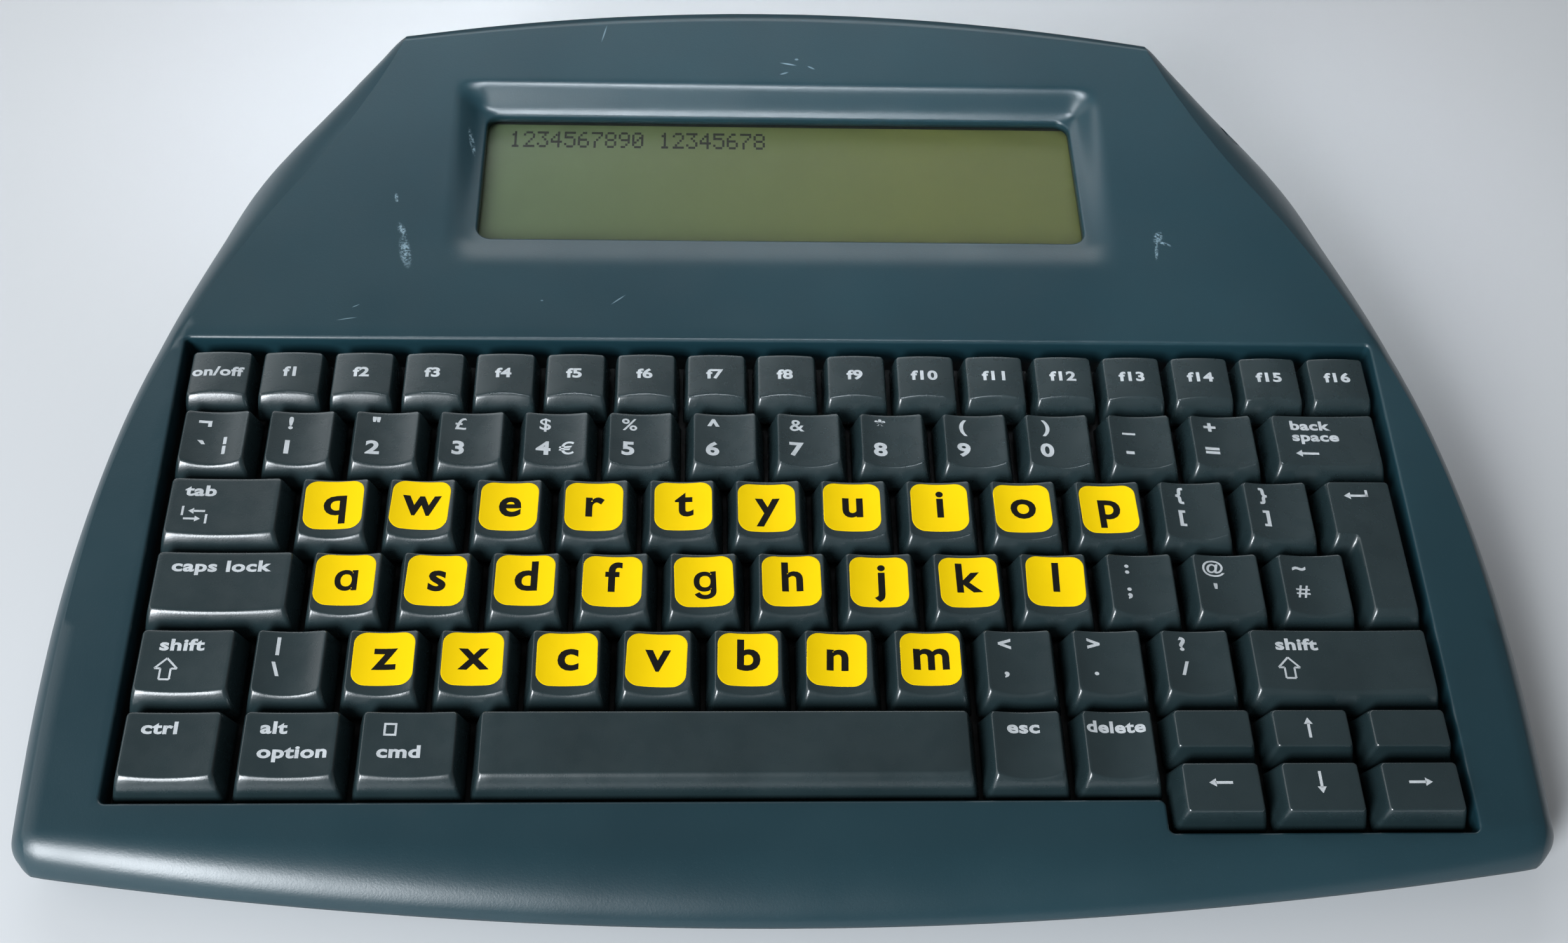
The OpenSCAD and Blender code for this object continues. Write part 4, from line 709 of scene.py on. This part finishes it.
class Cap:
    """A keycap over an axis-parallel outline, z down from the plane of the tops. A ring
    point at depth h lies at V(h) +- r u, with V(h) = V0 + inset t, t = 1 - h / H.
    The front is rolled: its share is (1 - sqrt(1 - c^2 t^2)) / (1 - sqrt(1 - c^2))."""

    def __init__(self, outline, form, middle=None):
        self.form = form
        self.base, self.u, corner, share = round_loop(outline, CAP_R, CAP_SEG, CAP_STEP, 2)
        pts = np.array(outline, float)
        self.lo, self.hi = pts.min(0), pts.max(0)
        d = np.roll(pts, -1, 0) - pts
        d /= np.linalg.norm(d, axis=1)[:, None]
        pull = np.array([self.inset(n) * n for n in np.column_stack([d[:, 1], -d[:, 0]])])
        draw = -(np.roll(pull, 1, 0) + pull)
        t = share[:, None]
        self.ins = draw[corner] * (1 - t) + draw[(corner + 1) % len(pts)] * t
        self.n = len(self.base)
        top = self.ring(np.zeros(self.n))
        self.top_lo, self.top_hi = top.min(0), top.max(0)
        self.a = (self.top_hi[0] - self.top_lo[0]) / 2
        self.centre = (self.lo + self.hi) / 2
        self.middle = self.centre if middle is None else np.array(middle)
        self.build()

    def inset(self, nor):
        side = SIDE_IN * (0.5 if self.form == "crown" else 1.0)
        front = HALF_FRONT_IN if self.form == "half" else FRONT_IN
        return side if abs(nor[0]) > 0.5 else (front if nor[1] < 0 else REAR_IN)

    def ring(self, h):
        t = 1 - h / CAP_H
        rolled = (self.ins[:, 1] > 0) & (self.form != "half")
        c = FRONT_ROLLED
        share = (1 - np.sqrt(1 - (c * t) ** 2)) / (1 - math.sqrt(1 - c * c))
        return self.base + self.ins * np.stack([t, np.where(rolled, share, t)], -1)

    def top(self, xy):
        """Points on the top: dish z = R - D - sqrt(R^2 - x^2), crown z = sqrt(R^2 - x^2) - R,
        where a chord of the half width a and the depth D has R = (a^2 + D^2) / 2 D."""
        x = xy[:, 0] - self.centre[0]
        z = 0 * x
        if self.form == "dish":
            deep = DISH if self.a < PITCH / 2 else WIDE_DISH
            r = (self.a ** 2 + deep ** 2) / (2 * deep)
            z = np.minimum(LIP_RISE, r - deep - np.sqrt(np.maximum(r * r - x * x, 0)))
        if self.form == "crown":
            w = (self.hi[0] - self.lo[0]) / 2
            r = (w * w + CROWN ** 2) / (2 * CROWN)
            z = np.sqrt(np.maximum(r * r - x * x, 0)) - r
        return np.column_stack([xy, z])

    def at(self, h):
        return np.column_stack([self.ring(h), -h])

    def build(self):
        """Rows from the ceiling inside, round the skirt's edge, up the side, over the edge
        as a quadratic curve (1-t)^2 A + 2t(1-t) B + t^2 C, and in over the top."""
        n = self.n
        h = np.full(n, 0.3)
        for _ in range(12):
            h = np.maximum(-self.top(self.ring(h))[:, 2], 0)
        edge = self.at(h)
        front = ease((-self.u[:, 1] - 0.2) / 0.8)
        side = ease((np.abs(self.u[:, 0]) - 0.2) / 0.8)
        down = h + np.minimum(EDGE_DOWN - front * EDGE_FRONT + side * EDGE_SIDE, CAP_H - CAP_WALL - h)
        low = self.at(down)
        rim = edge[:, :2] - self.u * (EDGE_IN - front * EDGE_IN_FRONT)[:, None]
        foot = np.full(n, CAP_H)
        skirt = self.ring(foot)
        inner = skirt - self.u * CAP_WALL
        rows = [np.column_stack([inner + self.ins * 0.55, np.full(n, -CEILING)]),
                np.column_stack([inner, -foot]),
                np.column_stack([skirt - self.u * SKIRT_EDGE, -foot]),
                np.column_stack([skirt, SKIRT_EDGE - foot])]
        span = CAP_H - SKIRT_EDGE - down
        rows += [self.at(down + span * (1 - f)) for f in SIDE_ROWS]
        for t in np.arange(8) / 7:
            rows.append((1 - t) ** 2 * low + 2 * t * (1 - t) * edge + t * t * self.top(rim))
        m = self.middle
        rows += [self.top(m + (rim - m) * s) for s in TOP_ROWS]
        faces = []
        for i in range(len(rows) - 1):
            faces += strip(i * n, (i + 1) * n, n)
        last, total = (len(rows) - 1) * n, len(rows) * n
        faces += [(last + i, last + (i + 1) % n, total) for i in range(n)]
        faces += [((i + 1) % n, i, total + 1) for i in range(n)]
        self.verts = np.concatenate(rows + [self.top(m[None]), [[m[0], m[1], -CEILING]]])
        self.faces = faces
        self.tree = BVHTree.FromPolygons([tuple(v) for v in self.verts], faces)


def drop(tree, xy, lift, miss=-1.0):
    """Points laid on a surface by rays from above."""
    z = []
    for x, y in xy:
        hit = tree.ray_cast(Vector((x, y, 6)), Vector((0, 0, -1)))[0]
        z.append((miss if hit is None else hit.z) + lift)
    return np.column_stack([xy, z])


def stem_box(x, y):
    """A key's square stem as 8 points and 6 faces."""
    v = [(x + a * STEM, y + b * STEM, z) for z in (STEM_END, STEM_TOP)
         for a, b in ((-1, -1), (1, -1), (1, 1), (-1, 1))]
    return v, [(0, 3, 2, 1), (4, 5, 6, 7), (0, 1, 5, 4), (1, 2, 6, 5), (2, 3, 7, 6), (3, 0, 4, 7)]


@cache
def glyphs(text, bold):
    """A word as flat faces, in the units of Blender's own font."""
    cu = bpy.data.curves.new("glyph", "FONT")
    cu.body = text
    cu.offset = bold
    cu.resolution_u = 4
    cu.space_character = 1.06
    ob = bpy.data.objects.new("glyph", cu)
    bpy.context.scene.collection.objects.link(ob)
    bpy.context.view_layer.update()
    me = bpy.data.meshes.new_from_object(ob)
    bpy.data.objects.remove(ob)
    v = np.array([tuple(x.co)[:2] for x in me.vertices])
    f = [tuple(p.vertices) for p in me.polygons]
    bpy.data.meshes.remove(me)
    return v, f


@cache
def digit_height():
    v, _ = glyphs("0", 0.0)
    return v[:, 1].max() - v[:, 1].min()


def facing_up(v, faces):
    return [q if signed_area(v[list(q)]) > 0 else q[::-1] for q in faces]


def cut_fine(verts, faces, step_x, step_y):
    """Cuts a flat mesh along a grid so that it can bend over a dished top."""
    bm = bmesh.new()
    vs = [bm.verts.new((x, y, 0)) for x, y in verts]
    for f in faces:
        try:
            bm.faces.new([vs[i] for i in f])
        except ValueError:  # a face that the font gives twice
            pass
    lo, hi = verts.min(0), verts.max(0)
    for axis, step in ((0, step_x), (1, step_y)):
        normal = Vector((1 - axis, axis, 0))
        for k in range(math.floor(lo[axis] / step) + 1, math.ceil(hi[axis] / step)):
            bmesh.ops.bisect_plane(bm, geom=bm.verts[:] + bm.edges[:] + bm.faces[:], dist=1e-5,
                                   plane_co=normal * k * step, plane_no=normal)
    bmesh.ops.triangulate(bm, faces=bm.faces[:])
    bm.verts.index_update()
    v = np.array([(x.co.x, x.co.y) for x in bm.verts])
    f = [tuple(x.index for x in q.verts) for q in bm.faces]
    bm.free()
    return v, f


def word(text, x, y, height, wide, bold, align):
    """A printed word: digit height and stretch, from its left end or round its middle."""
    v, f = glyphs(text, bold)
    if not len(v):
        return np.zeros((0, 2)), []
    k = height / digit_height()
    v = v * np.array([k * wide, k])
    left, right = v[:, 0].min(), v[:, 0].max()
    v = v + np.array([x - (left if align == LEFT else (left + right) / 2), y])
    return v, facing_up(v, f)


def bar(x0, y0, x1, y1, t):
    """A straight stroke of thickness t as a polygon."""
    a, b = np.array([x0, y0], float), np.array([x1, y1], float)
    d = (b - a) / np.linalg.norm(b - a)
    n = np.array([-d[1], d[0]]) * t / 2
    return [tuple(p) for p in (a - n, b - n, b + n, a + n)]


def arrow(x, y, dx, dy, length, t=0.6, head=1.5):
    """An arrow round its middle: a stroke and a head."""
    d, n, mid = np.array([dx, dy], float), np.array([-dy, dx], float), np.array([x, y])
    tip = mid + d * length / 2
    neck = tip - d * head
    wing = n * head * 0.62
    return [bar(*(mid - d * length / 2), *(neck + d * 0.2), t),
            [tuple(neck - wing), tuple(tip), tuple(neck + wing)]]


def text_at(text, x, y, height=2.6, wide=1.35, align=LEFT):
    """A print: a word, placed from the top's rear left corner; marks are polygons there."""
    return ("word", text, x, y, height, wide, align)


def marks(polygons):
    return ("marks", polygons)


def print_shape(p, x0, y1):
    if p[0] == "word":
        _, text, x, y, height, wide, align = p
        return word(text, x0 + x, y1 - y, height, wide, FINE_BOLD if text in FINE_SIGNS else BOLD, align)
    v = np.array([(x0 + a, y1 - b) for q in p[1] for a, b in q], float)
    ends = np.cumsum([len(q) for q in p[1]])
    return v, facing_up(v, [tuple(range(e - len(q), e)) for q, e in zip(p[1], ends)])


def turned(xy, at, turn):
    c, s = math.cos(turn), math.sin(turn)
    return np.column_stack([at[0] + xy[:, 0] * c - xy[:, 1] * s, at[1] + xy[:, 0] * s + xy[:, 1] * c])


def sticker_mesh(cap, at, turn, curl):
    """A rounded square laid on the cap in shrinking rings. It is stiffer than the edge that
    it hangs over, and one stretch of its rim is lifted a little."""
    w, d = STICKER_W / 2, STICKER_D / 2
    loop = round_loop(box_loop(-w, -d, w, d), STICKER_R, 8, 1.2)[0]
    n = len(loop)
    rows, faces = [], []
    for s in STICKER_ROWS:
        q = turned(loop * s, at, turn)
        row = drop(cap.tree, q, STICKER_RIM if s == 1.0 else STICKER_LIFT)
        row[:, 2] = np.maximum(row[:, 2], cap.top(q)[:, 2] - STICKER_HANG)
        if s > 0.6:
            a = np.arctan2(q[:, 1] - at[1], q[:, 0] - at[0])
            row[:, 2] += STICKER_CURL * curl * ease((s - 0.6) / 0.4) * ease(np.cos(a - curl * 9) * 2 - 1)
        rows.append(row)
    for i in range(len(rows) - 1):
        faces += strip(i * n, (i + 1) * n, n)
    last, middle = (len(rows) - 1) * n, len(rows) * n
    faces += [(last + i, last + (i + 1) % n, middle) for i in range(n)]
    return np.concatenate(rows + [drop(cap.tree, [at], STICKER_LIFT)]), faces


class Keyboard:
    """Caps, legends, stickers and letters, gathered into one mesh of each for a node."""
    KINDS = {"cap": (KEYS, True), "legend": (INK, False), "sticker": (STICKER, True),
             "letter": (BLACK_INK, False)}

    def __init__(self):
        self.parts = {}

    def put(self, node, kind, v, f):
        part = self.parts.setdefault(node, {k: ([], []) for k in self.KINDS})[kind]
        o = len(part[0])
        part[0].extend(map(tuple, v))
        part[1].extend(tuple(i + o for i in q) for q in f)

    def add(self, node, outline, form, prints=(), middle=None, stems=None):
        cap = Cap(outline, form, middle)
        self.put(node, "cap", cap.verts, cap.faces)
        for x, y in stems or [cap.centre]:
            self.put(node, "cap", *stem_box(x, y))
        for p in prints:
            v, f = print_shape(p, cap.top_lo[0], cap.top_hi[1])
            if len(v):
                v, f = cut_fine(v, f, *LEGEND_CUT)
                self.put(node, "legend", drop(cap.tree, v, INK_LIFT), f)
        return cap

    def add_letter(self, letter, outline, dx, dy, turn, curl):
        """A letter key: a dished cap, a sticker a little off its middle, and the letter."""
        node = "key_" + letter
        cap = self.add(node, outline, "dish")
        at = (cap.top_lo + cap.top_hi) / 2 + np.array([dx, dy])
        v, f = sticker_mesh(cap, at, turn, curl)
        self.put(node, "sticker", v, f)
        tree = BVHTree.FromPolygons([tuple(q) for q in v], f)
        char, tall = ROUND_LETTERS.get(letter, (letter, LETTER_H))
        v, f = word(char, LETTER_X, LETTER_Y, tall, LETTER_WIDE, LETTER_BOLD, MIDDLE)
        v, f = cut_fine(turned(v, at, turn), f, *LETTER_CUT)
        self.put(node, "letter", drop(tree, v, LETTER_LIFT, 0.0), f)

    def finish(self):
        for node, part in self.parts.items():
            for kind, (mat, smooth) in self.KINDS.items():
                v, f = part[kind]
                if v:
                    make(node + "_" + kind, on_keys(v), f, node, mat,
                         [node] if kind == "cap" else (), smooth)


def rect(u0, u1, v0, v1):
    g = KEY_GAP / 2
    return box_loop(ku(u0) + g, kv(v1) + g, ku(u1) - g, kv(v0) - g)


def function_row(board):
    names = ["on/off"] + ["f%d" % i for i in range(1, 17)]
    for i, name in enumerate(names):
        u0, u1 = i * FIELD_U / len(names), (i + 1) * FIELD_U / len(names)
        board.add("function_keys", rect(u0, u1, FN_REAR_V, NUM_REAR_V), "crown",
                  [text_at(name, 6.4, 7.0, 2.5 if i else 2.4, 1.3, MIDDLE)])


def digit_row(board):
    extra = {0: ("¦", 9.6, 10.4, 3.3, 1.1, MIDDLE), 4: ("€", 9.6, 11.3, 3.2, 1.25, MIDDLE)}
    for i, (upper, lower) in enumerate(zip("¬!\"£$%^&*()_+", "`1234567890-=")):
        prints = [text_at(upper, 4.6, 4.6, 3.1, 1.2, MIDDLE), text_at(lower, 4.4, 11.3, 3.4, 1.28, MIDDLE)]
        if i in extra:
            prints.append(text_at(*extra[i]))
        board.add("number_keys", rect(i, i + 1, NUM_REAR_V, 0), "dish", prints)


def letter_keys(board):
    rng = np.random.default_rng(7)
    for u, v, line in ((1.5, 0, "qwertyuiop"), (1.75, 1, "asdfghjkl"), (2.25, 2, "zxcvbnm")):
        for i, letter in enumerate(line):
            dx, dy = float(rng.uniform(-0.5, 0.3)), float(rng.uniform(-0.1, 0.45))
            turn, curl = float(rng.uniform(-0.04, 0.04)), float(rng.uniform(0.2, 1.0))
            board.add_letter(letter, rect(u + i, u + i + 1, v, v + 1), dx, dy, turn, curl)


def symbol_keys(board):
    for u, v, upper, lower in ((11.5, 0, "{", "["), (12.5, 0, "}", "]"), (10.75, 1, ":", ";"),
                               (11.75, 1, "@", "'"), (12.75, 1, "~", "#"), (1.25, 2, "|", "\\"),
                               (9.25, 2, "<", ","), (10.25, 2, ">", "."), (11.25, 2, "?", "/")):
        board.add("symbol_keys", rect(u, u + 1, v, v + 1), "dish",
                  [text_at(upper, 4.4, 4.6, 3.0, 1.2, MIDDLE), text_at(lower, 4.4, 10.4, 3.0, 1.2, MIDDLE)])


def shift_mark(x, y):
    """An outlined upward arrow as bars."""
    p = [(0, -2.6), (2.3, -0.2), (1.05, -0.2), (1.05, 2.3), (-1.05, 2.3), (-1.05, -0.2), (-2.3, -0.2)]
    q = [(x + a, y + b) for a, b in p]
    return [bar(*q[i], *q[(i + 1) % len(q)], 0.42) for i in range(len(q))]


def side_keys(board):
    """Backspace, tab, caps lock and the two shift keys."""
    board.add("backspace_key", rect(13, FIELD_U, NUM_REAR_V, 0), "dish",
              [text_at("back", 4.2, 4.0, 2.4), text_at("space", 4.2, 7.1, 2.4),
               marks(arrow(7.0, 10.6, -1, 0, 5.4))])
    tab = (arrow(6.4, 8.6, -1, 0, 3.6, 0.5, 1.2) + arrow(5.6, 10.6, 1, 0, 3.6, 0.5, 1.2)
           + [bar(3.4, 7.4, 3.4, 9.8, 0.5), bar(8.6, 9.4, 8.6, 11.8, 0.5)])
    board.add("tab_key", rect(0, 1.5, 0, 1), "dish", [text_at("tab", 3.2, 4.6), marks(tab)])
    board.add("caps_lock_key", rect(0, 1.75, 1, 2), "dish", [text_at("caps lock", 3.4, 4.8, 2.6, 1.4)])
    board.add("left_shift_key", rect(0, 1.25, 2, 3), "dish",
              [text_at("shift", 4.0, 4.8), marks(shift_mark(6.0, 9.3))])
    board.add("right_shift_key", rect(12.25, FIELD_U, 2, 3), "dish",
              [text_at("shift", 5.2, 4.8), marks(shift_mark(7.4, 9.3))])


def bottom_row(board):
    """Modifier keys, one of them with a plain small box, and the space bar."""
    box = [bar(4.6, 2.7, 4.6, 5.3, 0.45), bar(6.8, 2.7, 6.8, 5.3, 0.45),
           bar(4.4, 2.8, 7.0, 2.8, 0.45), bar(4.4, 5.2, 7.0, 5.2, 0.45)]
    left = [[text_at("ctrl", 3.4, 4.8)], [text_at("alt", 3.4, 4.8), text_at("option", 3.4, 10.2)],
            [text_at("cmd", 3.4, 10.2), marks(box)]]
    for i, prints in enumerate(left):
        board.add("modifier_keys", rect(i * 1.25, (i + 1) * 1.25, 3, 4), "dish", prints)
    board.add("modifier_keys", rect(9.25, 10.25, 3, 4), "dish", [text_at("esc", 3.2, 4.8)])
    board.add("modifier_keys", rect(10.25, ARROW_U, 3, 4), "dish",
              [text_at("delete", 6.8, 4.8, 2.5, 1.3, MIDDLE)])
    mid = (ku(3.75) + ku(9.25)) / 2
    board.add("space_bar", rect(3.75, 9.25, 3, 4), "flat", stems=[(mid + x, kv(3.5)) for x in (-40, 0, 40)])


def arrow_keys(board):
    """Two rows of half-height keys: the rear row is blank but for the upward arrow."""
    wide = (FIELD_U - ARROW_U) / 3
    w = wide * PITCH - KEY_GAP - 2 * SIDE_IN
    for v0, v1, ways in ((3, 3.63, (None, (0.46, 0.5, 0, -1, 4.6), None)),
                         (3.63, ARROW_V, ((0.48, 0.42, -1, 0, 4.9), (0.48, 0.42, 0, 1, 4.9),
                                          (0.48, 0.42, 1, 0, 4.9)))):
        d = (v1 - v0) * PITCH - KEY_GAP - HALF_FRONT_IN - REAR_IN
        for i, way in enumerate(ways):
            u0 = ARROW_U + i * wide
            prints = [marks(arrow(w * way[0], d * way[1], *way[2:]))] if way else []
            board.add("arrow_keys", rect(u0, u0 + wide, v0, v1), "half", prints)


def return_key(board):
    """The inverted L, with its stem under the middle of the narrow part."""
    g = KEY_GAP / 2
    ell = [(ku(13.75) + g, kv(2) + g), (ku(FIELD_U) - g, kv(2) + g), (ku(FIELD_U) - g, kv(0) - g),
           (ku(13.5) + g, kv(0) - g), (ku(13.5) + g, kv(1) + g), (ku(13.75) + g, kv(1) + g)]
    mark = arrow(6.2, 3.9, -1, 0, 5.4) + [bar(8.7, 2.4, 8.7, 4.2, 0.6)]
    board.add("enter_key", ell, "flat", [marks(mark)], (ku(14.125), kv(0.55)), [(ku(14.125), kv(1))])


board = Keyboard()
for row in (function_row, digit_row, letter_keys, symbol_keys, side_keys, bottom_row, arrow_keys,
            return_key):
    row(board)
board.finish()


# The display: cover, glass and digits, in the window's own tilted plane, z up out of it.
COVER_Z, COVER_T, COVER_LAP, COVER_R = -2.5, 1.2, 2.2, 5.7
GLASS_Z, GLASS_T, GLASS_LAP, GLASS_R = -3.9, 3.5, 0.5, 0.4
DOT_Z, DOT_W, DOT_H, TEXT_X, TEXT_Y = -3.87, 0.575, 0.80, -68.4, 39.2
# plain digits in a matrix of 5 x 7 dots: two hexadecimal figures a row, from the top
DIGITS = {"0": "0E11131519110E", "1": "040C040404040E", "2": "0E11010204081F", "3": "1F02040201110E",
          "4": "02060A121F0202", "5": "1F101E0101110E", "6": "0608101E11110E", "7": "1F010204080808",
          "8": "0E11110E11110E", "9": "0E11110F01020C"}


def plate(name, lap, radius, seg, z, thick, mat, replaces):
    """A flat plate that laps under the window's edge."""
    half = WIN_W / 2 + lap
    loop = round_loop(box_loop(-half, -lap, half, WIN_D + lap), radius, seg, 20)[0]
    n = len(loop)
    v = [(x, y, z - t) for t in (0, thick) for x, y in loop]
    f = [tuple(range(n)), tuple(range(2 * n - 1, n - 1, -1))]
    f += [(i, n + i, n + (i + 1) % n, (i + 1) % n) for i in range(n)]
    make(name, on_window(v), f, "case", mat, [replaces], smooth=False)


def dots(text):
    """A square for each set dot; a character is 6 dots wide."""
    v, f = [], []
    a, e = DOT_W * 0.5, DOT_H * 0.49
    for c, ch in enumerate(text):
        for r in range(7 if ch in DIGITS else 0):
            bits = int(DIGITS[ch][2 * r:2 * r + 2], 16)
            for b in range(5):
                if bits >> (4 - b) & 1:
                    x, y = TEXT_X + (c * 6 + b) * DOT_W, TEXT_Y - r * DOT_H
                    f.append(tuple(range(len(v), len(v) + 4)))
                    v += [(px, py, DOT_Z) for px, py in box_loop(x - a, y - e, x + a, y + e)]
    return v, f


plate("display_cover", COVER_LAP, COVER_R, 8, COVER_Z, COVER_T, GLASS, "screen_lens")
plate("display_glass", GLASS_LAP, GLASS_R, 3, GLASS_Z, GLASS_T, LCD, "lcd_panel")
v, f = dots("1234567890 12345678")
make("display_digits", on_window(v), f, "case", LCD_INK, smooth=False)

# The nodes that show as they are only get a material.
SHOWN = {"bottom_case": CASE, "battery_door": CASE, "lcd_frame": FRAME_DARK, "main_board": BOARD,
         "usb_b_port": STEEL, "usb_a_port": STEEL, "dc_jack": DARK, "ir_window": IR,
         "key_frame": FRAME_DARK, "dome_sheet": RUBBER, "membrane": FILM, "key_backplate": STEEL,
         "batteries": SLEEVE, "battery_contacts": STEEL, "rubber_feet": RUBBER,
         "case_screws": SCREW, "reset_button": RED, "space_stabiliser": STEEL, "flat_cables": FILM}
for node, mat in SHOWN.items():
    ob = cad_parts[node]
    ob.data.materials.clear()
    ob.data.materials.append(mat)

# Stage, lights and camera, in metres. A light: name, place, aim, width, height, watts, colour
# and spread in degrees. The window is low at the front left, the lamp is a narrow one over the
# display, the sky is behind, and the wall is a pale one on the left.
LIGHTS = [
    ("window", (-0.64, -0.98, 0.64), (0, 0, 0.03), 0.36, 0.66, 25, (0.90, 0.95, 1.0), 180),
    ("lamp", (-0.07, -0.13, 0.60), (0.0, 0.115, 0.045), 0.30, 0.10, 0.14, (0.86, 0.93, 1.0), 26),
    ("sky", (-0.30, 1.55, 1.35), (0, 0.03, 0), 2.2, 0.6, 13, (0.93, 0.965, 1.0), 180),
    ("wall", (-1.4, 0.1, 0.9), (0, 0, 0), 1.4, 1.2, 7, (0.97, 0.98, 1.0), 180)]
WORLD_COLOUR, WORLD_STRENGTH, FLOOR_HALF = (0.97, 0.985, 1.0, 1), 0.15, 3.0
# the camera that was fitted to the key grid: place, line of sight, rightwards, focal length
# in photo pixels and the photo's width in pixels
CAM_AT = (-0.01907, -0.2842, 0.3476)
CAM_LOOK, CAM_RIGHT = (0.0434, 0.6348, -0.7714), (0.9990, -0.0246, 0.0360)
FOCAL_PX, PHOTO_PX, SENSOR = 2914, 2468, 36.0


def build_floor():
    bm = bmesh.new()
    bmesh.ops.create_grid(bm, x_segments=8, y_segments=8, size=FLOOR_HALF)
    me = bpy.data.meshes.new("floor")
    bm.to_mesh(me)
    bm.free()
    floor = bpy.data.objects.new("floor", me)
    bpy.context.scene.collection.objects.link(floor)
    m = Nodes("floor_pale")
    m.put(Roughness=0.7)
    m.link(m.mix(m.noise(3, 3), lin(200, 202, 204), lin(206, 208, 210)), m.bsdf.inputs["Base Color"])
    me.materials.append(m.mat)


def area_light(name, place, aim, width, height, watts, colour, spread):
    li = bpy.data.lights.new(name, "AREA")
    li.shape = "RECTANGLE"
    li.size, li.size_y = width, height
    li.energy = watts
    li.color = colour
    li.spread = math.radians(spread)
    ob = bpy.data.objects.new(name, li)
    ob.location = place
    ob.rotation_mode = "QUATERNION"
    ob.rotation_quaternion = (Vector(aim) - Vector(place)).to_track_quat("-Z", "Y")
    bpy.context.scene.collection.objects.link(ob)


def build_camera():
    cam = bpy.data.cameras.new("camera")
    cam.sensor_width = SENSOR
    cam.lens = SENSOR * FOCAL_PX / PHOTO_PX
    cam.clip_start, cam.clip_end = 0.01, 50
    ob = bpy.data.objects.new("camera", cam)
    bpy.context.scene.collection.objects.link(ob)
    look = Vector(CAM_LOOK).normalized()
    right = Vector(CAM_RIGHT)
    right = (right - look * right.dot(look)).normalized()
    turn = Matrix((right, right.cross(look), -look)).transposed()
    ob.matrix_world = Matrix.Translation(CAM_AT) @ turn.to_4x4()
    bpy.context.scene.camera = ob


build_floor()
for light in LIGHTS:
    area_light(*light)
world = bpy.data.worlds.new("studio")
world.use_nodes = True
background = world.node_tree.nodes["Background"]
background.inputs["Color"].default_value = WORLD_COLOUR
background.inputs["Strength"].default_value = WORLD_STRENGTH
bpy.context.scene.world = world
bpy.context.scene.view_settings.view_transform = "Standard"
build_camera()
